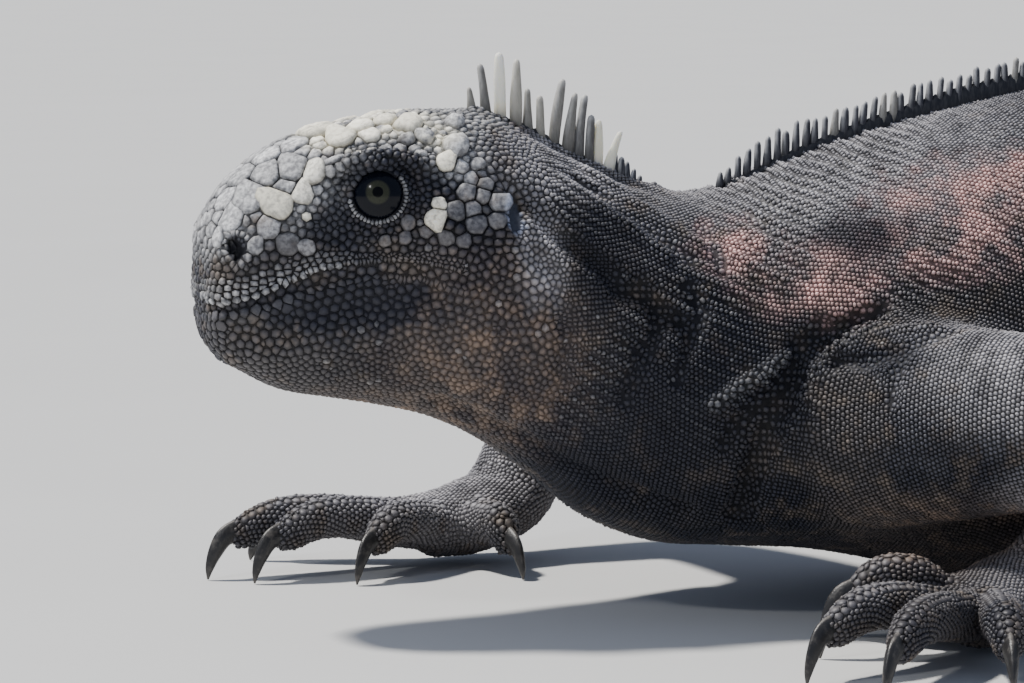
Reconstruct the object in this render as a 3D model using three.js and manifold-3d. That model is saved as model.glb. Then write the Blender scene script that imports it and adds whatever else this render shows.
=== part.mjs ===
// A life-size marine iguana, still, resting on its belly with the chest propped on the forelegs.
// Millimetres, +Z up. The head points to -X and the animal's left side is -Y.
// The origin is on the flat of the belly that rests on the floor.
import * as THREE from 'three';
import { mergeVertices } from 'three/addons/utils/BufferGeometryUtils.js';
import Module from 'manifold-3d';

const wasm = await Module();
wasm.setup();

// Driving dimensions
const SNOUT_X = -237.5; // tip of the snout
const MOUTH_CORNER_X = -184;
const NECK_START_X = -160; // head meets neck
const CHEST_START_X = -118; // neck meets chest
const BELLY_START_X = -15; // chest meets belly
const TAIL_START_X = 152; // belly meets tail
const GAP = 0.3; // air between touching pieces
const EYE_RADIUS = 7.2;
const BODY_SIDES = 24;
const TAIL_SIDES = 12;
const LIMB_SIDES = 10;
const DIGIT_SIDES = 6;
const TRUNK_RINGS = { head: 18, neck: 5, chest: 8, belly: 12, clearance: 44 };
const LIMB_RINGS = 6;
const PALM_RINGS = 4;
const TAIL_RINGS = 6;

const hide = { color: 0x2c2b2b, roughness: 0.75, metalness: 0 };
const horn = { color: 0x35322e, roughness: 0.45, metalness: 0 };
const eyeball = { color: 0x14130f, roughness: 0.1, metalness: 0 };

// Head, neck and trunk as upright sections along X:
// x, top, bottom, half width, share of the height at which it is widest, roundness above, roundness below
const TRUNK = [
  [-237.5, 82.0, 70.0, 5.0, 0.50, 2.3, 2.3],
  [-236.4, 89.0, 65.5, 10.0, 0.50, 2.4, 2.4],
  [-233.4, 95.0, 61.5, 13.5, 0.46, 2.5, 2.4],
  [-228.0, 101.2, 57.5, 16.5, 0.44, 2.5, 2.3],
  [-219.0, 107.2, 53.0, 19.0, 0.42, 2.5, 2.2],
  [-208.0, 110.8, 51.0, 21.5, 0.42, 2.5, 2.2],
  [-197.0, 113.0, 49.0, 24.0, 0.42, 2.4, 2.2],
  [-185.0, 114.5, 46.0, 27.5, 0.42, 2.2, 2.2],
  [-174.0, 113.6, 41.0, 30.0, 0.42, 2.1, 2.2],
  [-162.0, 108.5, 33.0, 31.0, 0.45, 2.0, 2.1],
  [-149.0, 101.5, 22.5, 32.0, 0.47, 2.0, 2.1],
  [-134.0, 96.0, 16.0, 36.0, 0.45, 2.0, 2.2],
  [-118.0, 95.5, 14.5, 41.0, 0.44, 2.0, 2.3],
  [-98.0, 102.5, 13.0, 46.0, 0.44, 1.9, 2.4],
  [-78.0, 108.5, 9.0, 49.5, 0.42, 1.9, 2.5],
  [-55.0, 114.0, 3.0, 54.0, 0.40, 1.9, 2.6],
  [-30.0, 118.5, -1.2, 58.0, 0.38, 1.9, 2.8],
  [0.0, 120.0, -1.5, 60.5, 0.37, 1.9, 2.8],
  [35.0, 116.0, -1.5, 60.0, 0.37, 1.9, 2.8],
  [70.0, 106.5, -1.5, 55.0, 0.38, 1.9, 2.7],
  [100.0, 93.0, -1.2, 46.0, 0.40, 1.9, 2.5],
  [126.0, 76.0, -1.0, 34.0, 0.43, 1.9, 2.3],
  [152.0, 60.0, -1.0, 24.0, 0.46, 1.9, 2.1],
];

// The tail lies on the floor. Its line, then its sections: share of length, height, half width
const TAIL_LINE = [
  [152, 0], [185, 0], [235, 9], [300, 31], [368, 48], [440, 42], [512, 12], [582, -20], [648, -30],
];
const TAIL = [
  [0.0, 60.0, 24.0],
  [0.08, 51.0, 18.5],
  [0.2, 45.0, 14.0],
  [0.4, 37.5, 10.0],
  [0.6, 29.0, 7.2],
  [0.8, 18.5, 4.6],
  [0.93, 10.0, 2.8],
  [1.0, 4.0, 1.2],
];
const TAIL_CUTS = [0, 0.24, 0.5, 0.76, 1];

// Limbs of one side in nearly straight lengths:
// x, y outwards, z, half thickness across, half thickness upright
const LIMBS = {
  arm_left: {
    upper: [
      [-97, 22, 46, 18, 22], [-90, 42, 46, 19, 23], [-73, 66, 48, 17.5, 20],
      [-55, 86, 49, 14, 15.5], [-49, 94, 49, 7, 8],
    ],
    lower: [
      [-48, 94, 54, 8, 7], [-51, 90, 46, 13, 13], [-55, 81, 34, 12.5, 12.5],
      [-61, 71, 22, 11, 10], [-65, 68, 17, 11, 8.5],
    ],
    palm: [[-60, 66, 17, 7, 6], [-66, 68, 13.5, 12, 8.5], [-76, 73, 11, 13.5, 9], [-88, 79, 9, 10, 7.5]],
  },
  arm_right: {
    upper: [
      [-97, 22, 47, 18, 21], [-99, 43, 48, 18, 21], [-104, 69, 50, 16.5, 18],
      [-110, 92, 50, 13.5, 14.5], [-112, 100, 49.5, 7, 8],
    ],
    lower: [
      [-109, 100, 53, 8, 7], [-113, 97, 47, 13, 13], [-121, 92, 36, 13, 12.5],
      [-133, 86, 24, 12, 10.5], [-138, 83, 18, 11.5, 9],
    ],
    palm: [
      [-133, 84, 18, 7, 6], [-139, 82, 14.5, 12, 8.5], [-149, 80, 11.5, 13.5, 9], [-161, 79, 9, 10, 7.5],
    ],
  },
  leg: {
    upper: [
      [114, 14, 42, 21, 23], [106, 38, 43, 22, 23], [92, 66, 42, 19, 20],
      [76, 92, 38, 14.5, 15.5], [71, 99, 37, 8, 9],
    ],
    lower: [
      [68, 98, 38, 8, 8], [76, 101, 34, 13, 13.5], [94, 108, 25, 13, 13],
      [114, 116, 16, 10.5, 9.5], [120, 118, 13.5, 9.5, 8],
    ],
    palm: [[123, 117, 13, 7, 6], [116, 119, 11, 10.5, 8], [104, 122, 9, 12.5, 8], [92, 126, 8, 11, 7]],
  },
};

// Digits: heading in degrees from straight ahead, outwards positive,
// length to the claw, height of the knuckle's arch
const HAND_LEFT = {
  palm: [-82, 76],
  spread: [[-46, 26, 15], [-3, 29, 21], [27, 50, 18], [47, 55, 17], [72, 38, 15]],
};
const HAND_RIGHT = {
  palm: [-152, 80],
  spread: [[-98, 25, 16], [-40, 36, 17], [-19, 51, 18], [-9, 57.5, 18], [18, 42, 15]],
};
const FOOT = {
  palm: [98, 124],
  spread: [[-42, 27, 14], [-18, 43, 16], [2, 60, 17], [17, 74, 17], [52, 46, 14]],
};
const KNUCKLE_DROP = 5; // the middle of the knuckle lies this far below its arch
const TIP_DROP = 7.5; // and the middle of the digit's tip this far
const CLAW_LENGTH = 19;

// Crest spines, heights from front to back. Those on the nape stand close
const NAPE_START_X = -174.3;
const NAPE_HEIGHTS_HEAD = [5.3, 11.3, 14.8, 14.1, 9.6];
const NAPE_HEIGHTS_NECK = [9.4, 14.5, 12.6, 13.3, 9.8, 8.9, 7.4, 5, 4.4];
const NAPE_SPACING = 2.65;
const NAPE_SEAM = 1.6; // from the seam of the neck to its first spine
const NAPE_SPINE = { length: 1.5, width: 1.35, lean: 0.08 };
const CREST_START_X = -115;
const CREST_FRONT_HEIGHT = 4;
const CREST_HEIGHT = 7.5; // at the shoulders, the highest
const CREST_GROWTH = 25; // length over which it grows to that
const CREST_FALL = 0.25; // share that it has lost at the hips
const CREST_SINK = 2.5; // how deep a spine's root goes
const CREST_SEAM = 1; // spines keep this far from a seam
const CREST_COUNT = { chest: 31, belly: 42 };
const BACK_SPINE = { length: 1.8, width: 1.1, lean: 0.1 };
const TAIL_SPINE = { root: 5.6, tip: 0.6, lean: 0.3 }; // heights at both ends of the tail
const TAIL_SPINES = [18, 17, 15, 11];
const SPINE_BULGE = 1.45; // a spine's middle against its root

// Large head plates of one side: x, degrees from the top of the head, width, height above the skin
const HEAD_PLATES = [
  [-233.0, 45, 7.5, 1.5], [-226.5, 32, 8.0, 1.9], [-222.5, 72, 8.0, 2.0], [-218.0, 40, 8.0, 2.1],
  [-216.5, 62, 6.0, 1.8], [-209.5, 24, 8.0, 2.0], [-200.0, 22, 7.5, 2.1], [-191.0, 20, 7.0, 2.4],
  [-187.5, 46, 6.5, 2.6], [-181.5, 32, 5.8, 2.8], [-190.5, 78, 4.8, 1.9], [-183.0, 68, 5.8, 1.6],
  [-184.0, 88, 5.6, 1.5], [-178.5, 82, 5.0, 1.4],
];
const CROWN_PLATES = [[-234.5, 7.5, 1.4], [-227.5, 8.0, 1.8], [-219.5, 8.0, 2.0]];
const PLATE_SINK = 1.6;
const PLATE_TOP = 0.27; // radius of a plate's top and of its root, as shares of its width
const PLATE_ROOT = 0.54;

// Value of a table's column at key x, on a smooth curve through its rows
function along(table, x, column) {
  const last = table.length - 1;
  let i = 0;
  while (i < last - 1 && x > table[i + 1][0]) i += 1;
  const [a, b] = [table[i], table[i + 1]];
  const before = table[Math.max(i - 1, 0)];
  const after = table[Math.min(i + 2, last)];
  const span = b[0] - a[0];
  const t = Math.min(Math.max((x - a[0]) / span, 0), 1);
  const slopeA = ((b[column] - before[column]) / (b[0] - before[0])) * span;
  const slopeB = ((after[column] - a[column]) / (after[0] - a[0])) * span;
  const t2 = t * t;
  const t3 = t2 * t;
  return (2 * t3 - 3 * t2 + 1) * a[column] + (t3 - 2 * t2 + t) * slopeA
    + (3 * t2 - 2 * t3) * b[column] + (t3 - t2) * slopeB;
}

function solid(geometry) {
  const bare = geometry.clone();
  for (const name of Object.keys(bare.attributes)) {
    if (name !== 'position') bare.deleteAttribute(name);
  }
  const merged = mergeVertices(bare, 1e-4);
  return new wasm.Manifold(new wasm.Mesh({
    numProp: 3,
    vertProperties: merged.attributes.position.array,
    triVerts: new Uint32Array(merged.index.array),
  }));
}

// A closed tube of rings: place(t, across, upright) puts a point of the unit disc at share t of the length
function loft(sides, rings, place) {
  const geometry = new THREE.CylinderGeometry(1, 1, 1, sides, rings);
  const p = geometry.attributes.position;
  for (let i = 0; i < p.count; i += 1) {
    const v = place(0.5 - p.getY(i), p.getX(i), p.getZ(i));
    p.setXYZ(i, v.x, v.y, v.z);
  }
  return outward(solid(geometry), geometry);
}

// Turns a solid's faces out where its mapping mirrored them
function outward(made, geometry) {
  if (made.volume() > 0) return made;
  const flipped = geometry.clone();
  const index = flipped.index.array;
  for (let i = 0; i < index.length; i += 3) {
    [index[i + 1], index[i + 2]] = [index[i + 2], index[i + 1]];
  }
  return solid(flipped);
}

// Point of the trunk's skin at x, for a point (across, upright) of the unit disc
function trunkPoint(x, across, upright, grow = 0) {
  const row = [1, 2, 3, 4, 5, 6].map((column) => along(TRUNK, x, column));
  const top = row[0] + grow;
  const bottom = row[1] - grow;
  const half = row[2] + grow;
  const widest = bottom + (top - bottom) * row[3];
  const power = 2 / (upright > 0 ? row[4] : row[5]);
  const radius = Math.hypot(across, upright);
  if (radius < 1e-6) return new THREE.Vector3(x, 0, widest);
  const c = across / radius;
  const s = upright / radius;
  const y = half * Math.sign(c) * Math.abs(c) ** power * radius;
  const reach = upright > 0 ? top - widest : widest - bottom;
  const z = widest + reach * Math.sign(s) * Math.abs(s) ** power * radius;
  return new THREE.Vector3(x, y, z);
}

// The trunk between two places, with its rings closer together at the snout
function trunkLength(from, to, rings, grow = 0) {
  return loft(BODY_SIDES, rings, (t, a, u) => {
    const x = from + (to - from) * (from < SNOUT_X + 1 ? t ** 1.5 : t);
    return trunkPoint(x, a, u, grow);
  });
}

const tailCurve = new THREE.CatmullRomCurve3(TAIL_LINE.map(([x, y]) => new THREE.Vector3(x, y, 0)));

// Point of the tail's skin at share t of its length
function tailPoint(t, across, upright) {
  const centre = tailCurve.getPointAt(t);
  const way = tailCurve.getTangentAt(t);
  const height = along(TAIL, t, 1);
  const half = along(TAIL, t, 2);
  const side = new THREE.Vector3(-way.y, way.x, 0);
  const bottom = -1;
  const z = bottom + (height - bottom) * (0.5 + 0.5 * upright);
  const narrow = upright > 0 ? 1 - 0.35 * upright : 1;
  return centre.addScaledVector(side, half * across * narrow).setZ(z);
}

// A limb along a smooth line through points with half thicknesses, made thicker and longer by grow
function limb(points, mirror, rings, sides, grow = 0) {
  const line = new THREE.CatmullRomCurve3(points.map(([x, y, z]) => new THREE.Vector3(x, mirror * y, z)));
  const table = points.map((p, i) => [i / (points.length - 1), p[3], p[4]]);
  const up = new THREE.Vector3(0, 0, 1);
  return loft(sides, rings, (t, across, upright) => {
    const way = line.getTangent(t);
    const rise = up.clone().addScaledVector(way, -way.z).normalize();
    const side = new THREE.Vector3().crossVectors(rise, way);
    return line.getPoint(t)
      .addScaledVector(way, grow * (2 * t - 1))
      .addScaledVector(side, across * (along(table, t, 1) + grow))
      .addScaledVector(rise, upright * (along(table, t, 2) + grow));
  });
}

// A tapered horn or finger in an upright plane: points are distance ahead, height, half width, half depth
function upright(points, origin, heading, rings, sides) {
  const line = new THREE.CatmullRomCurve3(points.map(([d, z]) => new THREE.Vector3(d, 0, z)));
  const table = points.map((p, i) => [i / (points.length - 1), p[2], p[3]]);
  const ahead = new THREE.Vector3(Math.cos(heading), Math.sin(heading), 0);
  const side = new THREE.Vector3(-ahead.y, ahead.x, 0);
  return loft(sides, rings, (t, across, up) => {
    const at = line.getPoint(t);
    const way = line.getTangent(t);
    const normal = new THREE.Vector2(-way.z, way.x);
    const depth = up * along(table, t, 2);
    return origin.clone()
      .addScaledVector(ahead, at.x + normal.x * depth)
      .addScaledVector(side, across * along(table, t, 1))
      .setZ(at.z + normal.y * depth);
  });
}

const union = (pieces) => pieces.reduce((a, b) => a.add(b));
const largest = (made) => made.decompose().sort((a, b) => b.volume() - a.volume())[0];

// Everything below the floor is cut away, which leaves the resting flats
const floorBlock = solid(new THREE.BoxGeometry(1400, 800, 100).translate(200, 0, -50));
const aboveFloor = (made) => made.subtract(floorBlock);

const iguana = new THREE.Group();

function node(name, made, look) {
  const mesh = largest(aboveFloor(made)).getMesh();
  const vertices = new Float32Array(mesh.numVert * 3);
  for (let i = 0; i < mesh.numVert; i += 1) {
    vertices.set(mesh.vertProperties.subarray(i * mesh.numProp, i * mesh.numProp + 3), i * 3);
  }
  const geometry = new THREE.BufferGeometry()
    .setAttribute('position', new THREE.BufferAttribute(vertices, 3))
    .setIndex(new THREE.BufferAttribute(mesh.triVerts, 1));
  geometry.computeVertexNormals();
  const made3 = new THREE.Mesh(geometry, new THREE.MeshStandardMaterial(look));
  made3.name = name;
  iguana.add(made3);
}

// Head and jaw, parted along the line of the mouth
const MOUTH = [
  [-246, 71.0], [-237, 71.6], [-228, 73.2], [-217, 77.0], [-207, 79.8], [-197, 80.6], [-190, 80.0],
  [MOUTH_CORNER_X, 78.2],
];
const JAW_BACK = [[-160, 50], [-152, 10]];
const JAW_FRONT = [-260, 10]; // beyond the snout and below the chin
const JAW_WIDTH = 120;

function jawRegion(grow) {
  const outline = new THREE.Shape();
  const top = MOUTH.map(([x, z]) => new THREE.Vector2(x, z + grow));
  outline.moveTo(top[0].x, top[0].y);
  outline.splineThru(top.slice(1));
  for (const [x, z] of JAW_BACK) outline.lineTo(x + grow, z);
  outline.lineTo(...JAW_FRONT);
  outline.lineTo(JAW_FRONT[0], MOUTH[0][1] + grow);
  const settings = { depth: JAW_WIDTH, bevelEnabled: false, curveSegments: 3 };
  const slab = new THREE.ExtrudeGeometry(outline, settings);
  return solid(slab.rotateX(Math.PI / 2).translate(0, JAW_WIDTH / 2, 0));
}

const EYE_CENTRE = [-200.7, 15.8, 96.4];
// The ring of lids: half sizes, depth, thickness as a share, how far out it stands, and its angles
const LIDS = {
  halfLength: 7.6, halfHeight: 6.4, depth: 7, roll: 0.24, outwards: 4.9, turn: -0.1, tilt: 0.2,
};
// Pits on the skin: x, degrees from the top, half sizes, depth, the pit's share of them, thickness of a rim
const NOSTRIL = { x: -232, angle: 78, width: 2.0, height: 2.8, depth: 3, share: 0.75, roll: 0.38 };
const EAR = { x: -172.5, angle: 74, width: 2.6, height: 6, depth: 1.8, share: 1 };
const LIP = { thickness: 2.1, flatness: 0.75, taper: 0.4, end: 0.015 };

function eye(mirror, radius) {
  return solid(new THREE.SphereGeometry(radius, 14, 9)
    .rotateX(Math.PI / 2)
    .translate(EYE_CENTRE[0], mirror * EYE_CENTRE[1], EYE_CENTRE[2]));
}

// Place on the skin, degrees from the top, with the directions out of it, backwards and down along it
function skinPlace(x, degrees, mirror) {
  const angle = THREE.MathUtils.degToRad(degrees);
  const at = (dx, da) => trunkPoint(x + dx, mirror * Math.sin(angle + da), Math.cos(angle + da));
  const point = at(0, 0);
  const down = at(0, 0.05).sub(at(0, -0.05)).normalize();
  const back = at(0.5, 0).sub(at(-0.5, 0));
  const out = new THREE.Vector3().crossVectors(down, back).multiplyScalar(mirror).normalize();
  return { point, out, down, back: new THREE.Vector3().crossVectors(out, down) };
}

// Puts a geometry on the skin: its x goes backwards, its y down and its z out
function onSkin(geometry, place, width, length, rise) {
  const basis = new THREE.Matrix4().makeBasis(place.back, place.down, place.out).setPosition(place.point);
  const set = geometry.scale(width, length, rise).applyMatrix4(basis);
  return outward(solid(set), set);
}

// A low plate, wider at its sunk root
function plate(x, degrees, width, rise, mirror) {
  const shape = new THREE.CylinderGeometry(PLATE_TOP, PLATE_ROOT, rise + PLATE_SINK, 5, 1)
    .rotateX(Math.PI / 2)
    .translate(0, 0, (rise - PLATE_SINK) / 2);
  return onSkin(shape, skinPlace(x, degrees, mirror), width, width, 1);
}

function lids(mirror) {
  const ring = new THREE.TorusGeometry(1, LIDS.roll, 5, 14)
    .scale(LIDS.halfLength, LIDS.halfHeight, LIDS.depth)
    .rotateX(Math.PI / 2)
    .rotateZ(LIDS.turn * mirror)
    .rotateX(LIDS.tilt * mirror)
    .translate(EYE_CENTRE[0], mirror * (EYE_CENTRE[1] + LIDS.outwards), EYE_CENTRE[2]);
  return outward(solid(ring), ring);
}

// The ridge of the brow over the eye
function brow(mirror) {
  return limb([
    [-212, 13, 101, 2.2, 2], [-206, 17.5, 104, 3, 2.2],
    [-198, 18.8, 104.6, 3, 2.4], [-190, 18, 102.5, 2, 2],
  ], mirror, 4, 6);
}

function nostrilRim(mirror) {
  const { x, angle, width, height, roll } = NOSTRIL;
  const ring = new THREE.TorusGeometry(1, roll, 4, 9);
  return onSkin(ring, skinPlace(x, angle, mirror), width, height, width);
}

// A pit or cup cut into the skin
function hollow({ x, angle, width, height, depth, share }, mirror) {
  const ball = new THREE.SphereGeometry(1, 8, 6);
  return onSkin(ball, skinPlace(x, angle, mirror), width * share, height * share, depth);
}

// Both lips as one roll along the line of the mouth, round the snout from corner to corner
function lips() {
  const line = new THREE.CatmullRomCurve3([
    [-183, 27.5, 78.2], [-190, 26.2, 80], [-200, 23.6, 80.8], [-209, 21.4, 79.4], [-218, 19.4, 76.8],
    [-228, 16, 73.4], [-234, 11.4, 72.2], [-237, 5, 71.8],
  ].flatMap(([x, y, z], i, list) => [[x, -y, z, i], [x, y, z, 2 * list.length - 1 - i]])
    .sort((a, b) => a[3] - b[3])
    .map(([x, y, z]) => new THREE.Vector3(x, y, z)));
  return loft(5, 18, (t, across, up) => {
    const way = line.getTangent(t);
    const side = new THREE.Vector3(-way.y, way.x, 0).normalize();
    const share = Math.min(Math.max(t, LIP.end), 1 - LIP.end);
    const thick = LIP.thickness * Math.sin(Math.PI * share) ** LIP.taper;
    return line.getPoint(t)
      .addScaledVector(side, across * thick * LIP.flatness)
      .add(new THREE.Vector3(0, 0, up * thick));
  });
}

// A crest spine: its root is sunk at root, and it stands along rise and leans to lean
function spine(root, height, length, width, way, lean) {
  const shape = new THREE.ConeGeometry(1, 1, 4, 2).rotateX(Math.PI / 2).rotateZ(Math.PI / 4);
  const side = new THREE.Vector3(-way.y, way.x, 0);
  const p = shape.attributes.position;
  for (let i = 0; i < p.count; i += 1) {
    const t = p.getZ(i) + 0.5;
    const swell = (t > 0.3 && t < 0.7 ? SPINE_BULGE : 1) * Math.SQRT1_2;
    const v = root.clone()
      .addScaledVector(way, p.getX(i) * length * swell + lean * t * t)
      .addScaledVector(side, p.getY(i) * width * swell)
      .add(new THREE.Vector3(0, 0, t * (height + CREST_SINK) - CREST_SINK));
    p.setXYZ(i, v.x, v.y, v.z);
  }
  return outward(solid(shape), shape);
}

// Seeded draw from 0 to 1, the same on each run
let seed = 7;
function draw() {
  seed = (seed * 16807) % 2147483647;
  return seed / 2147483647;
}

const varied = (height) => height * (0.9 + 0.2 * draw());

const ALONG_BODY = new THREE.Vector3(1, 0, 0);

// Spines of the nape, with the first at startX
function napeSpines(heights, startX) {
  return heights.map((height, i) => {
    const x = startX + i * NAPE_SPACING;
    const { length, width, lean } = NAPE_SPINE;
    return spine(trunkPoint(x, 0, 1), height, length, width, ALONG_BODY, lean * height);
  });
}

// Spines of the back, lower at both ends of the trunk's crest
function backSpines(from, to, count) {
  return Array.from({ length: count }, (_, i) => {
    const x = from + ((to - from) * (i + 0.5)) / count;
    const grownShare = Math.min((x - CREST_START_X) / CREST_GROWTH, 1);
    const fall = 1 - CREST_FALL * Math.max(x / TAIL_START_X, 0);
    const full = CREST_FRONT_HEIGHT + (CREST_HEIGHT - CREST_FRONT_HEIGHT) * grownShare;
    const height = varied(full * fall);
    const { length, width, lean } = BACK_SPINE;
    return spine(trunkPoint(x, 0, 1), height, length, width, ALONG_BODY, lean * height);
  });
}

function tailSpines(from, to, count) {
  return Array.from({ length: count }, (_, i) => {
    const share = from + ((to - from) * (i + 0.5)) / count;
    const slim = 1 - share;
    const height = varied(TAIL_SPINE.tip + (TAIL_SPINE.root - TAIL_SPINE.tip) * slim);
    const root = tailPoint(share, 0, 1);
    const way = tailCurve.getTangentAt(share);
    return spine(root, height, 0.8 + 1.2 * slim, 0.5 + 0.6 * slim, way, TAIL_SPINE.lean * height);
  });
}

const grown = trunkLength(SNOUT_X, TAIL_START_X, TRUNK_RINGS.clearance, GAP);

// Head with plates, lids, brows, nostrils and ears, before the jaw is parted from it
function headForms() {
  const sides = [-1, 1];
  const raised = [
    trunkLength(SNOUT_X, NECK_START_X - GAP, TRUNK_RINGS.head),
    lips(),
    ...CROWN_PLATES.map(([x, width, rise]) => plate(x, 0, width, rise, 1)),
    ...sides.flatMap((mirror) => [
      ...HEAD_PLATES.map(([x, degrees, width, rise]) => plate(x, degrees, width, rise, mirror)),
      lids(mirror), brow(mirror), nostrilRim(mirror),
    ]),
    ...napeSpines(NAPE_HEIGHTS_HEAD, NAPE_START_X),
  ];
  const cut = sides.flatMap((mirror) => [
    hollow(NOSTRIL, mirror), hollow(EAR, mirror), eye(mirror, EYE_RADIUS + GAP),
  ]);
  return union(raised).subtract(union(cut));
}

const whole = headForms();
node('head', whole.subtract(jawRegion(GAP)), hide);
node('lower_jaw', whole.intersect(jawRegion(0)), hide);
node('neck', union([
  trunkLength(NECK_START_X, CHEST_START_X - GAP, TRUNK_RINGS.neck),
  ...napeSpines(NAPE_HEIGHTS_NECK, NECK_START_X + NAPE_SEAM),
]), hide);
node('chest', union([
  trunkLength(CHEST_START_X, BELLY_START_X - GAP, TRUNK_RINGS.chest),
  ...backSpines(CREST_START_X, BELLY_START_X - CREST_SEAM, CREST_COUNT.chest),
]), hide);
node('belly', union([
  trunkLength(BELLY_START_X, TAIL_START_X - GAP, TRUNK_RINGS.belly),
  ...backSpines(BELLY_START_X + CREST_SEAM, TAIL_START_X - CREST_SEAM, CREST_COUNT.belly),
]), hide);

['tail_base', 'tail_middle', 'tail_end', 'tail_tip'].forEach((name, i) => {
  const gapShare = GAP / tailCurve.getLength();
  const [from, to] = [TAIL_CUTS[i], TAIL_CUTS[i + 1] - (i < 3 ? gapShare : 0)];
  const body = loft(TAIL_SIDES, TAIL_RINGS, (t, a, u) => tailPoint(from + (to - from) * t, a, u));
  node(name, union([body, ...tailSpines(from, to, TAIL_SPINES[i])]), hide);
});

// A finger or toe: plain, or grown by a clearance
function digit(palm, heading, reach, arch, grow) {
  return upright([
    [-2 - grow, 9, 7 + grow, 6 + grow],
    [reach * 0.3, 9.5, 6.2 + grow, 6.5 + grow],
    [reach * 0.62, arch - KNUCKLE_DROP, 5.6 + grow, 6 + grow],
    [reach * 0.86, arch - KNUCKLE_DROP + 0.2, 5 + grow, 5.5 + grow],
    [reach + grow, arch - TIP_DROP, 3.6 + grow, 4.6 + grow],
  ], palm, heading, 5, DIGIT_SIDES);
}

// A claw: a deep curved blade from the end of its digit down to the floor
function claw(palm, heading, reach, arch) {
  const height = arch - TIP_DROP;
  return upright([
    [reach - 2, height + 0.6, 2.4, 3.7],
    [reach + CLAW_LENGTH * 0.24, height - 0.6, 2.1, 3.1],
    [reach + CLAW_LENGTH * 0.42, height * 0.5, 1.4, 2.1],
    [reach + CLAW_LENGTH * 0.49, -0.6, 0.6, 0.9],
  ], palm, heading, 4, 5);
}

// A hand or foot: the palm with its digits in one node, and the claws
function paw(name, points, shape, mirror, shank) {
  const palm = new THREE.Vector3(shape.palm[0], mirror * shape.palm[1], 0);
  const digits = shape.spread.map(([angle, reach, arch]) => (
    [palm, Math.PI - THREE.MathUtils.degToRad(angle) * mirror, reach, arch]));
  const fleshy = union([
    limb(points, mirror, PALM_RINGS, LIMB_SIDES), ...digits.map((d) => digit(...d, 0)),
  ]);
  node(name, fleshy.subtract(shank), hide);
  const clear = union(digits.map((d) => digit(...d, GAP)));
  digits.forEach((d, i) => node(name + '_claw_' + (i + 1), claw(...d).subtract(clear), horn));
}

// A leg from the trunk to the claws, each length cut clear of the one that it grows from
function leg(names, points, shape, mirror, trunk) {
  const upper = (grow) => limb(points.upper, mirror, LIMB_RINGS, LIMB_SIDES, grow);
  const lower = (grow) => limb(points.lower, mirror, LIMB_RINGS, LIMB_SIDES, grow);
  node(names[0], upper(0).subtract(trunk), hide);
  node(names[1], lower(0).subtract(upper(GAP)).subtract(trunk), hide);
  paw(names[2], points.palm, shape, mirror, lower(GAP).add(upper(GAP)));
}

for (const [side, mirror] of [['left', -1], ['right', 1]]) {
  node('eye_' + side, eye(mirror, EYE_RADIUS), eyeball);
  const arm = ['upper_arm_' + side, 'forearm_' + side, 'hand_' + side];
  leg(arm, LIMBS['arm_' + side], side === 'left' ? HAND_LEFT : HAND_RIGHT, mirror, grown);
  leg(['thigh_' + side, 'shank_' + side, 'foot_' + side], LIMBS.leg, FOOT, mirror, grown);
}

export default iguana;
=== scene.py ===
"""A life-size marine iguana, resting on its belly with the chest propped on the forelegs.

One scaled hide, the crest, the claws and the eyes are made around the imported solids.
The shapes are worked out in millimetres and put into Blender in metres, with +Z up,
the head to -X and the animal's left side to -Y.
"""
import functools
import math
from types import SimpleNamespace

import bmesh
import bpy
import numpy as np
from bpy.props import FloatProperty, FloatVectorProperty, IntProperty, PointerProperty
from mathutils import Matrix, Vector, kdtree


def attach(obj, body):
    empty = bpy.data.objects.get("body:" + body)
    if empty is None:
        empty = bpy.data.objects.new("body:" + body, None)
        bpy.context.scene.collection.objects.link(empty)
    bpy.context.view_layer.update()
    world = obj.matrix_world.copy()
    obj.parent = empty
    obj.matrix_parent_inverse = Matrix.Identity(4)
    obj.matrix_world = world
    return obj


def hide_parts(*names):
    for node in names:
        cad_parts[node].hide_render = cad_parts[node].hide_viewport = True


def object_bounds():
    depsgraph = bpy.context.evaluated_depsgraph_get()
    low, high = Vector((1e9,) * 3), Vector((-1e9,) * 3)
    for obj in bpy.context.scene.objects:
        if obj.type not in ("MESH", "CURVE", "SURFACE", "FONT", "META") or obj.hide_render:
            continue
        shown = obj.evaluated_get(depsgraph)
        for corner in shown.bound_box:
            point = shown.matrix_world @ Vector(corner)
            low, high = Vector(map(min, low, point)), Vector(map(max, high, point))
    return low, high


bl_info = {
    "name": "Marine iguana model",
    "version": (1, 0, 0),
    "blender": (4, 5, 0),
    "location": "3D View > Sidebar > Iguana",
    "description": "Finishes a life-size marine iguana around its packed solids",
    "category": "Object",
}

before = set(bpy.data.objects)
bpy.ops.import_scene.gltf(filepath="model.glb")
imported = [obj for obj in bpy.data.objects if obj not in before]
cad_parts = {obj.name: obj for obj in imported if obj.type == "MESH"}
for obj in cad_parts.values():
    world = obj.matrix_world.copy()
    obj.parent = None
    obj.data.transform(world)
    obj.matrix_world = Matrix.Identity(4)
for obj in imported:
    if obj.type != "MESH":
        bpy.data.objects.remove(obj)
CAD_BOX = [[float(v) for v in corner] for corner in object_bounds()]

MM = 0.001
SNOUT_X = -237.5
TAIL_START_X = 152.0
FACE_BACK_X = -150.0  # the face's forms and the finer mesh end here
COAT_DEPTH = 0.55  # how deep the bare hide lies under the tops of the scales
HIDE_STEP = 1.65  # spacing of the hide's mesh
FLOOR_LIFT = 0.35

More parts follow.
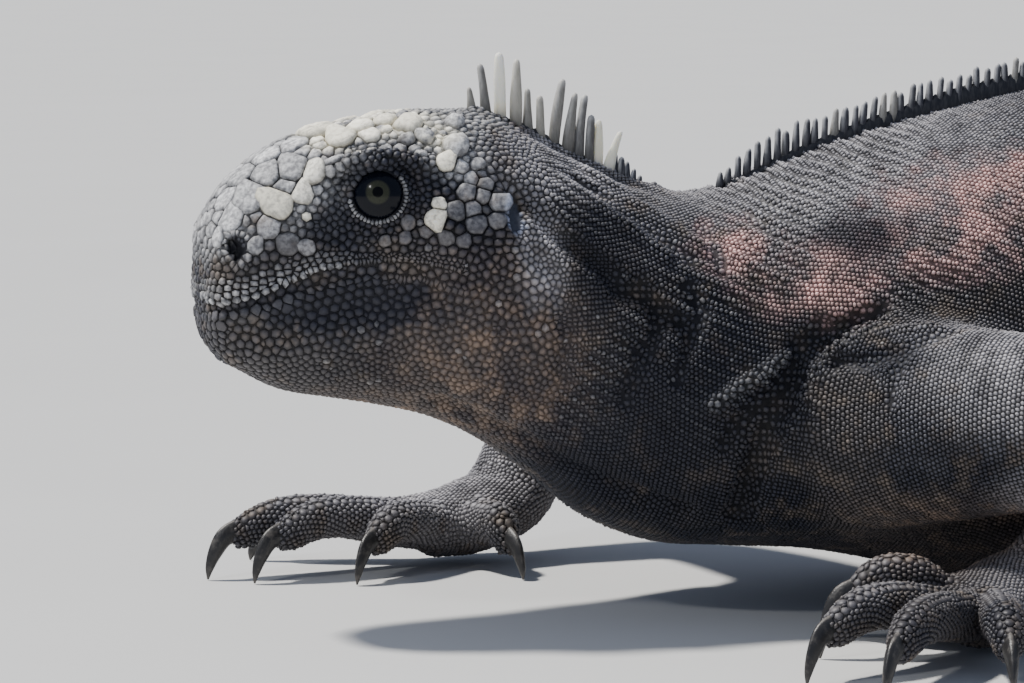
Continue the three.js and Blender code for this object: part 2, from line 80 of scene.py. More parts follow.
# Upright sections: x, top, bottom, half width, share of height at the widest, roundness above and below
TRUNK = [
    [-237.5, 82, 70, 5, 0.50, 2.3, 2.3],
    [-236.4, 89, 65.5, 10, 0.50, 2.4, 2.4],
    [-233.4, 95, 61.5, 13.5, 0.46, 2.5, 2.4],
    [-228, 101.2, 57.5, 16.5, 0.44, 2.5, 2.3],
    [-219, 107.2, 53, 19, 0.42, 2.5, 2.2],
    [-208, 110.8, 51, 21.5, 0.42, 2.5, 2.2],
    [-197, 113, 49, 24, 0.42, 2.4, 2.2],
    [-185, 114.5, 46, 27.5, 0.42, 2.2, 2.2],
    [-174, 113.6, 41, 30, 0.42, 2.1, 2.2],
    [-162, 108.5, 33, 31, 0.45, 2, 2.1],
    [-149, 101.5, 22.5, 32, 0.47, 2, 2.1],
    [-134, 96, 16, 36, 0.45, 2, 2.2],
    [-118, 95.5, 14.5, 41, 0.44, 2, 2.3],
    [-98, 102.5, 13, 46, 0.44, 1.9, 2.4],
    [-78, 108.5, 9, 49.5, 0.42, 1.9, 2.5],
    [-55, 114, 3, 54, 0.40, 1.9, 2.6],
    [-30, 118.5, -1.2, 58, 0.38, 1.9, 2.8],
    [0, 120, -1.5, 60.5, 0.37, 1.9, 2.8],
    [35, 116, -1.5, 60, 0.37, 1.9, 2.8],
    [70, 106.5, -1.5, 55, 0.38, 1.9, 2.7],
    [100, 93, -1.2, 46, 0.40, 1.9, 2.5],
    [126, 76, -1, 34, 0.43, 1.9, 2.3],
    [152, 60, -1, 24, 0.46, 1.9, 2.1],
]
TAIL_LINE = [[152, 0], [185, 0], [235, 9], [300, 31], [368, 48], [440, 42], [512, 12], [582, -20], [648, -30]]
# Share of the tail's length, height, half width
TAIL = [
    [0, 60, 24], [0.08, 51, 18.5], [0.2, 45, 14], [0.4, 37.5, 10],
    [0.6, 29, 7.2], [0.8, 18.5, 4.6], [0.93, 10, 2.8], [1, 4, 1.2],
]
# Limbs of one side: x, y outwards, z, half thickness across, half thickness upright
LIMBS = {
    "arm_left": {
        "upper": [[-97, 22, 46, 18, 22], [-90, 42, 46, 19, 23], [-73, 66, 48, 17.5, 20],
                  [-55, 86, 49, 14, 15.5],
                  [-49, 94, 49, 7, 8]],
        "lower": [[-48, 94, 54, 8, 7], [-51, 90, 46, 13, 13], [-55, 81, 34, 12.5, 12.5],
                  [-61, 71, 22, 11, 10],
                  [-65, 68, 17, 11, 8.5]],
        "palm": [[-60, 66, 17, 7, 6], [-66, 68, 13.5, 12, 8.5], [-76, 73, 11, 13.5, 9],
                 [-88, 79, 9, 10, 7.5]],
    },
    "arm_right": {
        "upper": [[-97, 22, 47, 18, 21], [-99, 43, 48, 18, 21], [-104, 69, 50, 16.5, 18],
                  [-110, 92, 50, 13.5, 14.5],
                  [-112, 100, 49.5, 7, 8]],
        "lower": [[-109, 100, 53, 8, 7], [-113, 97, 47, 13, 13], [-121, 92, 36, 13, 12.5],
                  [-133, 86, 24, 12, 10.5],
                  [-138, 83, 18, 11.5, 9]],
        "palm": [[-133, 84, 18, 7, 6], [-139, 82, 14.5, 12, 8.5], [-149, 80, 11.5, 13.5, 9],
                 [-161, 79, 9, 10, 7.5]],
    },
    "leg": {
        "upper": [[114, 14, 42, 21, 23], [106, 38, 43, 22, 23], [92, 66, 42, 19, 20],
                  [76, 92, 38, 14.5, 15.5],
                  [71, 99, 37, 8, 9]],
        "lower": [[68, 98, 38, 8, 8], [76, 101, 34, 13, 13.5], [94, 108, 25, 13, 13],
                  [114, 116, 16, 10.5, 9.5],
                  [120, 118, 13.5, 9.5, 8]],
        "palm": [[123, 117, 13, 7, 6], [116, 119, 11, 10.5, 8], [104, 122, 9, 12.5, 8], [92, 126, 8, 11, 7]],
    },
}
# Digits: heading in degrees from straight ahead, outwards positive, length to the claw, arch of the knuckle
HAND_LEFT = ([-82, 76], [[-46, 26, 15], [-3, 29, 21], [27, 50, 18], [47, 55, 17], [72, 38, 15]])
HAND_RIGHT = ([-152, 80], [[-98, 25, 16], [-40, 36, 17], [-19, 51, 18], [-9, 57.5, 18], [18, 42, 15]])
FOOT = ([98, 124], [[-42, 27, 14], [-18, 43, 16], [2, 60, 17], [17, 74, 17], [52, 46, 14]])
LEGS = [
    ("arm_left", "hand_left", HAND_LEFT, -1, ("upper_arm_left", "forearm_left")),
    ("arm_right", "hand_right", HAND_RIGHT, 1, ("upper_arm_right", "forearm_right")),
    ("leg", "foot_left", FOOT, -1, ("thigh_left", "shank_left")),
    ("leg", "foot_right", FOOT, 1, ("thigh_right", "shank_right")),
]

EYE_CENTRE = np.array([-200.7, 15.8, 96.4])
EYE_RADIUS = 7.2
LID_OPENING = (4.7, 4.6)  # half length and half height
LID_EDGE = 1.32  # where the beads stand, against the opening
LID_DROP = 0.3
NOSTRIL = np.array([-232.1, 13.9, 85.6])
EAR = np.array([-172.4, 26.1, 93.1])

# Lines on the left side of the head and neck, on the hide: x, y outwards, z
MOUTH = [[-240, 1, 72], [-237.1, 6.3, 72.3], [-233, 12.5, 72.8], [-226.1, 17.1, 74.7], [-215.6, 19.8, 79],
         [-209.7, 21.1, 80.4], [-200.2, 23.1, 81.4], [-193.9, 24.8, 80.8], [-184.6, 27.5, 78.8]]
MANDIBLE = [[-231, 5.6, 60.2], [-226.2, 13, 62.1], [-218.6, 16.5, 63.1], [-209.3, 19.4, 64.8],
            [-201, 21.9, 66.8],
            [-194.9, 24.1, 69.6], [-189.8, 26.1, 73.3], [-185.3, 27.4, 76.6]]
LIP_TROUGH = [[-231.2, 13.4, 67.6], [-221.2, 18.1, 70.7], [-210.8, 20.8, 72.8], [-200.2, 23.2, 74.5],
              [-191.9, 25.5, 76.2]]
BROW = [[-213, 13.6, 100.8, 2.4, 2.2], [-206.5, 18, 104, 3, 2.4], [-198, 19.4, 104.8, 3, 2.4],
        [-190, 18.8, 102.8, 2.3, 2.1]]
# Folds: the line, how deep (or how high, if below nought), how wide
FOLDS = [
    (MOUTH, 2.4, 1.0),
    (MANDIBLE, -0.9, 3.0),
    (LIP_TROUGH, 1.3, 2.6),
    ([[-174, 22.8, 99.4], [-169.8, 23.9, 95.5], [-165, 25.3, 90.7], [-161.4, 26.2, 86.7], [-157.3, 26.2, 84],
      [-152.7, 27, 80.3], [-149.5, 28, 76], [-143, 29, 73], [-136, 32, 68]], 5.0, 2.0),
    ([[-170, 28, 87.5], [-166.3, 29.1, 82.3], [-162.8, 30.5, 74], [-161.8, 31, 65.3], [-163.6, 29.4, 56.5]],
     1.8, 2.4),
    ([[-144.4, 27.3, 76.5], [-141.5, 28.9, 71.1], [-142.4, 31.4, 65.8], [-146, 32, 60.5], [-149, 31, 52]],
     2.2, 2.0),
    ([[-133.7, 29.9, 75.3], [-132.1, 32, 70], [-134.5, 32.1, 64.5], [-138, 33, 56]], 2.0, 1.8),
    ([[-159.8, 18, 98.1], [-150.7, 20, 93.6], [-142.6, 23.5, 87], [-137.8, 26, 82.7]], -1.4, 1.6),
    ([[-149.7, 8.9, 99.6], [-141.9, 13.6, 94.1], [-134.4, 18.9, 88.8], [-129.1, 23.6, 84.6]], -1.3, 1.6),
    ([[-155, 13, 98.5], [-146.5, 17.5, 94], [-138.5, 21.5, 88], [-132, 26, 82]], 1.4, 1.5),
    ([[-127.3, 20.5, 88.6], [-126.1, 26, 83.5], [-125.6, 29.5, 79.8]], 2.0, 2.0),
    ([[-186.4, 14.8, 50.2], [-173, 16.2, 44.3], [-159.7, 17.9, 36.9], [-147.1, 22.2, 30.7],
      [-134.6, 26.4, 26.2]], 2.2, 3.2),
    ([[-106, 40.5, 66.5], [-111.4, 40.5, 61.9], [-115.2, 40.5, 53.6], [-117.5, 40, 48.1], [-119.8, 38, 42.5],
      [-121.2, 35.5, 35.6], [-122, 30, 26]], 6.5, 2.4),
    ([[-173, 0, 113], [-160, 0, 107.5], [-146, 0, 100.5], [-132, 0, 95.5]], -1.9, 3.2),
    ([[-212.5, 19.3, 91.4], [-206.4, 21.2, 88.3], [-197.9, 22.9, 89.1], [-191.4, 23.8, 92.9]], 0.9, 1.0),
    ([[-212.7, 19.8, 88], [-206.5, 21.5, 85.3], [-195.9, 23.9, 85.7], [-185.3, 26.2, 88.2]], 0.8, 1.0),
    ([[-186.4, 22.3, 99.7], [-179.6, 22.4, 100.8], [-172.1, 20.4, 102.7]], 0.7, 1.1),
]
# Creases of the left side alone, round the foreleg that is drawn back
LEFT_FOLDS = [
    ([[-94, 43, 71], [-101.4, 41.5, 67.6], [-106.9, 40.5, 64.4]], 5.5, 1.7),
    ([[-130.9, 37.4, 50.6], [-127.1, 38.5, 53.6], [-120.7, 40, 57.5], [-113.6, 40.5, 61.5], [-106, 42, 67]],
     -2.4, 1.6),
    ([[-127, 37, 42], [-124, 38.5, 47], [-119, 40, 52]], 3.2, 2.4),
    ([[-84.5, 59.8, 68.2], [-92.9, 57.5, 64.8], [-97.5, 54.5, 62.5], [-100.9, 51.5, 61], [-105, 46, 60.4]],
     5.8, 1.6),
    ([[-95, 57.5, 62.5], [-97.9, 59.8, 58.4], [-99.8, 61, 53.2]], 3.0, 1.6),
    ([[-74, 63, 68.5], [-80.8, 58, 69.4], [-83, 51.5, 70.4], [-86.5, 48.7, 71]], 3.4, 1.3),
    ([[-60, 58, 74], [-72, 53, 74], [-84, 47.5, 75]], 1.8, 1.4),
    ([[-98, 46, 66], [-92, 52, 67.4], [-84, 57, 69.8]], -1.3, 1.4),
]


def along(table, key, column):
    """Values of a table's column at keys, on a smooth curve through its rows."""
    rows = np.asarray(table, float)
    keys, values = rows[:, 0], rows[:, column]
    last = len(keys) - 1
    i = np.clip(np.searchsorted(keys, key, side="right") - 1, 0, last - 1)
    before, after = np.maximum(i - 1, 0), np.minimum(i + 2, last)
    span = keys[i + 1] - keys[i]
    t = np.clip((key - keys[i]) / span, 0, 1)
    slope_a = (values[i + 1] - values[before]) / (keys[i + 1] - keys[before]) * span
    slope_b = (values[after] - values[i]) / (keys[after] - keys[i]) * span
    return ((2 * t**3 - 3 * t**2 + 1) * values[i] + (t**3 - 2 * t**2 + t) * slope_a
            + (3 * t**2 - 2 * t**3) * values[i + 1] + (t**3 - t**2) * slope_b)


def spline(points, shares):
    """Places and headings at shares of a centripetal curve through points."""
    points = np.asarray(points, float)
    last = len(points) - 1
    whole = np.vstack([2 * points[0] - points[1], points, 2 * points[-1] - points[-2]])
    at = np.clip(np.asarray(shares, float) * last, 0, last)
    i = np.minimum(at.astype(int), last - 1)
    w = (at - i)[:, None]
    p0, p1, p2, p3 = (whole[i + k] for k in range(4))
    g0, g1, g2 = (np.sqrt(np.linalg.norm(b - a, axis=1))[:, None] for a, b in ((p0, p1), (p1, p2), (p2, p3)))
    t1 = ((p1 - p0) / g0 - (p2 - p0) / (g0 + g1) + (p2 - p1) / g1) * g1
    t2 = ((p2 - p1) / g1 - (p3 - p1) / (g1 + g2) + (p3 - p2) / g2) * g1
    c2 = -3 * p1 + 3 * p2 - 2 * t1 - t2
    c3 = 2 * p1 - 2 * p2 + t1 + t2
    way = t1 + 2 * c2 * w + 3 * c3 * w**2
    return p1 + t1 * w + c2 * w**2 + c3 * w**3, way / np.linalg.norm(way, axis=1)[:, None]


def runs_of(line):
    """How far along a line each of its points is."""
    return np.concatenate([[0], np.cumsum(np.linalg.norm(np.diff(line, axis=0), axis=1))])


def rows_at(key, keys, rows):
    """Rows at keys, on straight runs between the given ones."""
    return np.stack([np.interp(key, keys, column) for column in rows.T], 1)


def within(p, low, high):
    """Which points lie in an upright box."""
    return ((p > low) & (p < high)).all(1)


def unit(v):
    """Vectors brought to length one."""
    return v / np.maximum(np.linalg.norm(v, axis=-1, keepdims=True), 1e-9)


def ease(t):
    """From 0 to 1 with soft ends."""
    t = np.clip(t, 0, 1)
    return t * t * (3 - 2 * t)


def smooth_min(a, b, soft):
    """The lesser of two distances, with a soft join."""
    h = np.clip(0.5 + 0.5 * (b - a) / soft, 0, 1)
    return b + (a - b) * h - soft * h * (1 - h)


def smooth_max(a, b, soft):
    """The greater of two distances, with a soft join."""
    return -smooth_min(-a, -b, soft)


def columns_at(x, keys, table):
    """Each column of a table at x."""
    return [np.interp(x, keys, column) for column in table]


TRUNK_KEYS = np.arange(SNOUT_X, TAIL_START_X + 0.5, 0.5)
TRUNK_FINE = [along(TRUNK, TRUNK_KEYS, column) for column in range(1, 7)]
TRUNK_SLANT = 1 / np.hypot(1, np.gradient(TRUNK_FINE[2], TRUNK_KEYS))


def trunk_distance(p):
    """Signed distance to the head, neck and body, without their folds."""
    x, y, z = p.T
    top, bottom, half, share, above, below = columns_at(x, TRUNK_KEYS, TRUNK_FINE)
    widest = bottom + (top - bottom) * share
    rise = z - widest
    deep = np.where(rise > 0, top - widest, widest - bottom)
    power = np.where(rise > 0, above, below)
    across, upright = np.abs(y) / half, np.abs(rise) / deep
    total = across**power + upright**power + 1e-9
    rho = total ** (1 / power)
    slope = rho / total * np.hypot(across ** (power - 1) / half, upright ** (power - 1) / deep)
    slant = np.interp(x, TRUNK_KEYS, TRUNK_SLANT)
    return smooth_max((rho - 1) / np.maximum(slope, 1e-6) * slant, SNOUT_X - x, 2.5)


def tail_line():
    """The tail's line at even steps, with its headings and length."""
    flat = [[x, y, 0] for x, y in TAIL_LINE]
    fine, _ = spline(flat, np.linspace(0, 1, 2001))
    run = runs_of(fine)
    place = rows_at(np.linspace(0, run[-1], 401), run, fine)
    return place, unit(np.gradient(place, axis=0)), run[-1]


TAIL_PLACE, TAIL_WAY, TAIL_LENGTH = tail_line()
TAIL_SHARES = np.linspace(0, 1, len(TAIL_PLACE))
TAIL_FINE = [along(TAIL, TAIL_SHARES, column) for column in (1, 2)]


def tail_frame(share):
    """Centre, heading, height and half width of the tail at shares of its length."""
    centre = rows_at(share, TAIL_SHARES, TAIL_PLACE)
    way = unit(rows_at(share, TAIL_SHARES, TAIL_WAY))
    height, half = columns_at(share, TAIL_SHARES, TAIL_FINE)
    return centre, way, height, half


def tail_share(p):
    """Share of the tail's length at which each point lies."""
    share = np.interp(p[:, 0], TAIL_PLACE[:, 0], TAIL_SHARES)
    for _ in range(3):
        centre, way, _, _ = tail_frame(share)
        ahead = ((p - centre)[:, :2] * way[:, :2]).sum(1)
        share = np.clip(share + ahead / TAIL_LENGTH, 0, 1)
    return share


def tail_distance(p):
    """Signed distance to the tail."""
    share = tail_share(p)
    centre, way, height, half = tail_frame(share)
    off = p - centre
    ahead = (off[:, :2] * way[:, :2]).sum(1)
    side = off[:, 1] * way[:, 0] - off[:, 0] * way[:, 1]
    deep = (height + 1) / 2
    up = (p[:, 2] + 1) / deep - 1
    width = half * (1 - 0.35 * np.clip(up, 0, 1.3))
    over = np.maximum(ahead, 0) * (share >= 1) / 3
    rho = np.sqrt((side / width) ** 2 + up**2 + over**2 + 1e-9)
    slope = np.hypot(side / width**2, up / deep) / rho
    slope = np.hypot(slope, over / 3 / rho)
    return (rho - 1) / np.maximum(slope, 1e-6)


class Length:
    """A length of limb or finger with oval sections along a smooth line."""

    def __init__(self, points, mirror=1, origin=(0, 0, 0), steps=25):
        shares = np.linspace(0, 1, steps)
        line = np.array([[q[0], mirror * q[1], q[2]] for q in points], float) + origin
        table = [[i / (len(points) - 1), q[3], q[4]] for i, q in enumerate(points)]
        self.centre, self.way = spline(line, shares)
        rise = unit(np.array([0, 0, 1.0]) - self.way * self.way[:, 2:])
        self.rise, self.side = rise, np.cross(rise, self.way)
        self.across, self.deep = along(table, shares, 1), along(table, shares, 2)
        self.run = runs_of(self.centre)
        reach = max(self.across.max(), self.deep.max())
        self.low, self.high = self.centre.min(0) - reach, self.centre.max(0) + reach

    def at(self, run):
        """Centre, heading, side, rise, half widths at runs along the line."""
        both = np.hstack([self.centre, self.way, self.side, self.rise, self.across[:, None],
                          self.deep[:, None]])
        got = rows_at(run, self.run, both)
        return got[:, :3], unit(got[:, 3:6]), unit(got[:, 6:9]), unit(got[:, 9:12]), got[:, 12], got[:, 13]

    def nearest(self, p):
        """Runs along the line that are nearest to points."""
        near = ((self.centre**2).sum(1) - 2 * (p @ self.centre.T)).argmin(1)
        ahead = ((p - self.centre[near]) * self.way[near]).sum(1)
        return self.run[near] + ahead

    def distance(self, p):
        """Signed distance to this length, with rounded ends."""
        run = self.nearest(p)
        inner = np.clip(run, 0, self.run[-1])
        centre, way, side, rise, across, deep = self.at(inner)
        off = p - centre
        s, r = (off * side).sum(1) / across, (off * rise).sum(1) / deep
        cap = 0.45 * np.minimum(across, deep)
        over = np.where((inner <= 0) | (inner >= self.run[-1]), (off * way).sum(1), 0) / cap
        rho = np.sqrt(s**2 + r**2 + over**2 + 1e-9)
        slope = np.sqrt((s / across) ** 2 + (r / deep) ** 2 + (over / cap) ** 2) / rho
        return (rho - 1) / np.maximum(slope, 1e-6)


def digit_points(heading, reach, arch):
    """Rows of a finger or toe from its palm: place and half widths."""
    rows = [
        [-2, 9, 6.4, 5.8], [reach * 0.3, 10.2, 5.4, 5.7], [reach * 0.62, arch - 4.3, 5.0, 5.3],
        [reach * 0.86, arch - 4.3, 4.6, 5.0], [reach, arch - 7.2, 3.4, 4.3],
        [reach + 2.4, arch - 8.6, 2.0, 2.8],
    ]
    return [[d * math.cos(heading), d * math.sin(heading), z, a, b] for d, z, a, b in rows]


class Leg:
    """A leg from the trunk to the tips of its fingers or toes."""

    def __init__(self, name, limb, paw, mirror):
        self.name, self.mirror = name, mirror
        self.upper, self.lower, self.palm = (Length(LIMBS[limb][k], mirror)
                                             for k in ("upper", "lower", "palm"))
        self.origin = np.array([paw[0][0], mirror * paw[0][1], 0.0])
        self.digits, self.headings, self.spread = [], [], paw[1]
        for angle, reach, arch in paw[1]:
            heading = math.pi - math.radians(angle) * mirror
            self.headings.append(heading)
            self.digits.append(Length(digit_points(heading, reach, arch), 1, self.origin))
        self.lengths = [self.upper, self.lower, self.palm, *self.digits]
        self.low = np.min([part.low for part in self.lengths], 0) - 12
        self.high = np.max([part.high for part in self.lengths], 0) + 12

    def distances(self, p):
        """Distance to each of the leg's lengths, far ones left at a high value."""
        out = np.full((len(self.lengths), len(p)), 60.0)
        for row, part in zip(out, self.lengths):
            near = within(p, part.low - 12, part.high + 12)
            if near.any():
                row[near] = part.distance(p[near])
        return out

    def distance(self, p):
        """Signed distance to the whole leg."""
        far = self.distances(p)
        toes = far[3]
        for row in far[4:]:
            toes = smooth_min(toes, row, 1.2)
        paw = smooth_min(far[2], toes, 3.5)
        return smooth_min(smooth_min(far[0], far[1], 5.0), paw, 4.0)


LEG_PARTS = [Leg(paw_name, limb, paw, mirror) for limb, paw_name, paw, mirror, _ in LEGS]


def near_line(p, line):
    """Distance of points to a line of straight runs."""
    line = np.asarray(line, float)
    best = np.full(len(p), np.inf)
    for a, b in zip(line[:-1], line[1:]):
        run = b - a
        t = np.clip(((p - a) @ run) / (run @ run), 0, 1)
        best = np.minimum(best, ((p - a - t[:, None] * run) ** 2).sum(1))
    return np.sqrt(best)


def mirrored(p):
    """Points brought over to the left side, y outwards."""
    return np.column_stack([p[:, 0], np.abs(p[:, 1]), p[:, 2]])


def folds_near(p):
    """For each fold that comes near: its points, its depth, and their distance against its width."""
    for q, folds in ((mirrored(p), FOLDS), (p * [1, -1, 1], LEFT_FOLDS)):
        for line, deep, wide in folds:
            near = within(q, np.min(line, 0) - 3 * wide, np.max(line, 0) + 3 * wide)
            if near.any():
                yield near, deep, near_line(q[near], line) / wide


def folded(p, d):
    """Adds the folds, lips and creases to distances."""
    for near, deep, far in folds_near(p):
        d[near] += deep * np.exp(-(far**2))
    loose = p[:, 0] < -20
    d[loose] -= 0.3 * ropes(p[loose], 7.0)
    return d


def shade(p):
    """Painted shade in the deep folds, below nought, and a painted highlight on their lips, a little above it."""
    dark = np.zeros(len(p))
    for near, deep, far in folds_near(p):
        if abs(deep) > 2:
            dark[near] -= np.clip(deep / 5, -0.25, 0.95) * np.exp(-((far / 0.85) ** 2))
    return np.clip(dark, -0.95, 0.25)


def ropes(p, pitch):
    """Waves that run down the neck and over the shoulders, like the small ropes of loose skin."""
    q = mirrored(p)
    x, y, z = q.T
    bend = 1.6 * np.sin(0.11 * x + 0.07 * z)
    bend = bend + 1.1 * np.sin(0.19 * z - 0.05 * x + 0.08 * y)
    bend = bend + 0.7 * np.sin(0.31 * x + 0.2 * y)
    share = ease((-30 - x) / 50) * ease((z - 30) / 25) * ease((x + 176) / 10) * ease((52 - y) / 12)
    patchy = 0.6 + 0.4 * np.sin(0.13 * x - 0.17 * z + 0.4 * bend)
    return share * patchy * np.sin(math.tau / pitch * (0.45 * x + 0.89 * z) + bend)


BROW_LENGTH = Length(BROW)
EYE_OUT = unit(np.array([-0.28, 0.93, 0.2]))
EYE_BACK = unit(np.cross([0, 0, 1.0], EYE_OUT)) * -1
EYE_UP = np.cross(EYE_BACK, EYE_OUT)
if EYE_UP[2] < 0:
    EYE_UP = -EYE_UP


def nostril_share(off):
    """One on the rim of the nostril, for places from its middle."""
    tilted = off[:, 0] + 0.18 * off[:, 2]
    return np.hypot(tilted / 1.25, off[:, 2] / 2.15)


def face(p, d):
    """Brows, lids, nostrils and ears on the head's distances."""
    q = mirrored(p)
    near = within(q, EYE_CENTRE - 16, EYE_CENTRE + 16)
    if near.any():
        e, part = q[near], d[near]
        part = smooth_min(part, BROW_LENGTH.distance(e), 2.5)
        off = e - EYE_CENTRE
        ball = np.linalg.norm(off, axis=1)
        part = smooth_min(part, ball - 8.3, 1.6)
        back, up, out = off @ EYE_BACK, off @ EYE_UP, off @ EYE_OUT
        crease = np.hypot(back, up * 1.15)
        part += 0.5 * np.exp(-(((crease - 8.6) / 0.7) ** 2)) * (out > 0)
        opening = np.hypot(back / LID_OPENING[0], (up + LID_DROP) / LID_OPENING[1])
        hole = np.maximum((opening - 1) * LID_OPENING[1], 1.0 - out)
        part = smooth_max(part, -hole, 0.5)
        d[near] = part
    near = within(q, NOSTRIL - 8, NOSTRIL + 8)
    if near.any():
        off = q[near] - NOSTRIL
        wide = nostril_share(off)
        d[near] -= 0.8 * np.exp(-(((wide - 1.75) / 0.6) ** 2))
        d[near] += 3.6 * np.exp(-(wide**6))
    near = within(q, EAR - 9, EAR + 9)
    if near.any():
        off = q[near] - EAR
        wide = np.hypot(off[:, 0] / 2.4, off[:, 2] / 5.2)
        d[near] += 1.9 * np.exp(-(wide**4)) - 0.4 * np.exp(-(((wide - 1.5) / 0.4) ** 2))
    return d


def flesh(p, bare=False):
    """Signed distance to the hide under the scales. Bare leaves out the small forms."""
    x = p[:, 0]
    d = np.empty(len(p))
    body, tail = x < TAIL_START_X + 8, x > TAIL_START_X - 12
    d[body] = trunk_distance(p[body])
    both = ease((x[tail] - TAIL_START_X + 12) / 20)
    own = tail_distance(p[tail])
    d[tail] = np.where(both < 1, d[tail] * (1 - both) + own * both, own) if (both < 1).any() else own
    if not bare:
        head = x < FACE_BACK_X
        if head.any():
            d[head] = face(p[head], d[head])
    for leg in LEG_PARTS:
        near = within(p, leg.low, leg.high)
        if near.any():
            d[near] = smooth_min(d[near], leg.distance(p[near]), 9.0)
    if not bare:
        d = folded(p, d)
    return smooth_max(d + COAT_DEPTH, FLOOR_LIFT - p[:, 2], 1.5)


def slope_of(p, bare=False):
    """Distance and its slope at points."""
    d = flesh(p, bare)
    nudge = 0.06
    slope = np.empty_like(p)
    for k in range(3):
        moved = p.copy()
        moved[:, k] += nudge
        slope[:, k] = (flesh(moved, bare) - d) / nudge
    return d, slope


def settle(p, rounds=2, bare=False, most=1.5):
    """Moves points on to the hide, and returns them with the directions out of it."""
    for _ in range(rounds):
        d, slope = slope_of(p, bare)
        steep = np.maximum((slope**2).sum(1), 0.2)
        move = np.clip(d / steep, -most, most)
        p = p - slope * move[:, None]
    return p, unit(slope)


def surface_net(values, low, step):
    """Quads around the nought level of a block of distances."""
    inside = values < 0
    shape = np.array(values.shape) - 1
    corners = np.array([(i, j, k) for i in (0, 1) for j in (0, 1) for k in (0, 1)])

    def shifted(block, c):
        return block[c[0]:c[0] + shape[0], c[1]:c[1] + shape[1], c[2]:c[2] + shape[2]]

    count = np.zeros(shape, np.int8)
    for c in corners:
        count += shifted(inside, c)
    cells = np.argwhere((count > 0) & (count < 8))
    number = np.full(shape, -1, np.int64)
    number[tuple(cells.T)] = np.arange(len(cells))
    at = np.stack([values[tuple((cells + c).T)] for c in corners], 1)
    total, hits = np.zeros((len(cells), 3)), np.zeros(len(cells))
    for a in range(8):
        for b in range(a + 1, 8):
            if np.abs(corners[a] - corners[b]).sum() == 1:
                cross = (at[:, a] < 0) != (at[:, b] < 0)
                share = at[cross, a] / (at[cross, a] - at[cross, b])
                total[cross] += corners[a] + (corners[b] - corners[a]) * share[:, None]
                hits[cross] += 1
    points = low + (cells + total / hits[:, None]) * step
    quads = []
    for axis in range(3):
        u, v = (axis + 1) % 3, (axis + 2) % 3
        eu, ev = np.eye(3, dtype=int)[u], np.eye(3, dtype=int)[v]
        first = [slice(None)] * 3
        second = [slice(None)] * 3
        first[axis], second[axis] = slice(0, -1), slice(1, None)
        lower, upper = inside[tuple(first)], inside[tuple(second)]
        edges = np.argwhere(lower != upper)
        edges = edges[(edges[:, u] > 0) & (edges[:, v] > 0) & (edges[:, u] < shape[u])
                      & (edges[:, v] < shape[v])]
        out = lower[tuple(edges.T)]
        ring = [number[tuple((edges - off).T)] for off in (eu + ev, ev, np.zeros(3, int), eu)]
        quad = np.stack(ring, 1)
        quads.append(np.where(out[:, None], quad, quad[:, ::-1]))
    return points, np.vstack(quads)


def hide_net():
    """The hide's points and quads at an even step."""
    low = np.array(CAD_BOX[0]) / MM - 6
    high = np.array(CAD_BOX[1]) / MM + 6
    block = 4
    coarse = HIDE_STEP * block
    counts = np.ceil((high - low) / coarse).astype(int)
    grid = np.stack(np.meshgrid(*[np.arange(n) for n in counts], indexing="ij"), -1).reshape(-1, 3)
    rough = flesh(low + (grid + 0.5) * coarse, bare=True)
    values = np.repeat(np.repeat(np.repeat(rough.reshape(counts), block, 0), block, 1), block,
                       2).astype(np.float32)
    live = grid[np.abs(rough) < coarse * 0.9 + 5]
    inner = np.stack(np.meshgrid(*[np.arange(block)] * 3, indexing="ij"), -1).reshape(-1, 3)
    nodes = (live[:, None] * block + inner[None]).reshape(-1, 3)
    for some in np.array_split(nodes, 1 + len(nodes) // 100000):
        values[tuple(some.T)] = flesh(low + some * HIDE_STEP)
    return surface_net(values, low, HIDE_STEP)


def refined(points, old_faces, chosen):
    """Splits the edges whose two ends are chosen."""
    mesh = bmesh.new()
    verts = [mesh.verts.new(p) for p in points]
    for face in old_faces:
        mesh.faces.new([verts[i] for i in face])
    mesh.verts.index_update()
    edges = [e for e in mesh.edges if chosen[e.verts[0].index] and chosen[e.verts[1].index]]
    bmesh.ops.subdivide_edges(mesh, edges=edges, cuts=1, use_grid_fill=True)
    mesh.verts.index_update()
    new_points = np.array([v.co for v in mesh.verts])
    faces = [[v.index for v in f.verts] for f in mesh.faces]
    mesh.free()
    return new_points, faces


@functools.lru_cache(maxsize=None)
def hide_shape():
    """Points, faces and outward directions of the whole hide, finer on the head."""
    points, quads = hide_net()
    points, _ = settle(points, 2)
    points, faces = refined(points, quads, points[:, 0] < FACE_BACK_X)
    near = mirrored(points) - EYE_CENTRE
    points, faces = refined(points, faces, np.linalg.norm(near, axis=1) < 12)
    near = mirrored(points) - NOSTRIL
    points, faces = refined(points, faces, np.linalg.norm(near, axis=1) < 5)
    points, out = settle(points, 3)
    return points, faces, out


def new_mesh(name, points, corners, sizes, smooth=True):
    """A mesh from flat lists, in millimetres."""
    mesh = bpy.data.meshes.new(name)
    mesh.vertices.add(len(points))
    mesh.vertices.foreach_set("co", (np.asarray(points) * MM).astype(np.float32).ravel())
    mesh.loops.add(len(corners))
    mesh.loops.foreach_set("vertex_index", np.asarray(corners, np.int32))
    mesh.polygons.add(len(sizes))
    starts = np.concatenate([[0], np.cumsum(sizes)[:-1]]).astype(np.int32)
    mesh.polygons.foreach_set("loop_start", starts)
    mesh.update(calc_edges=True)
    mesh.polygons.foreach_set("use_smooth", np.full(len(sizes), smooth))
    return mesh


def flat(faces):
    """Faces as one list of corners and one of sizes."""
    return [i for face in faces for i in face], [len(face) for face in faces]


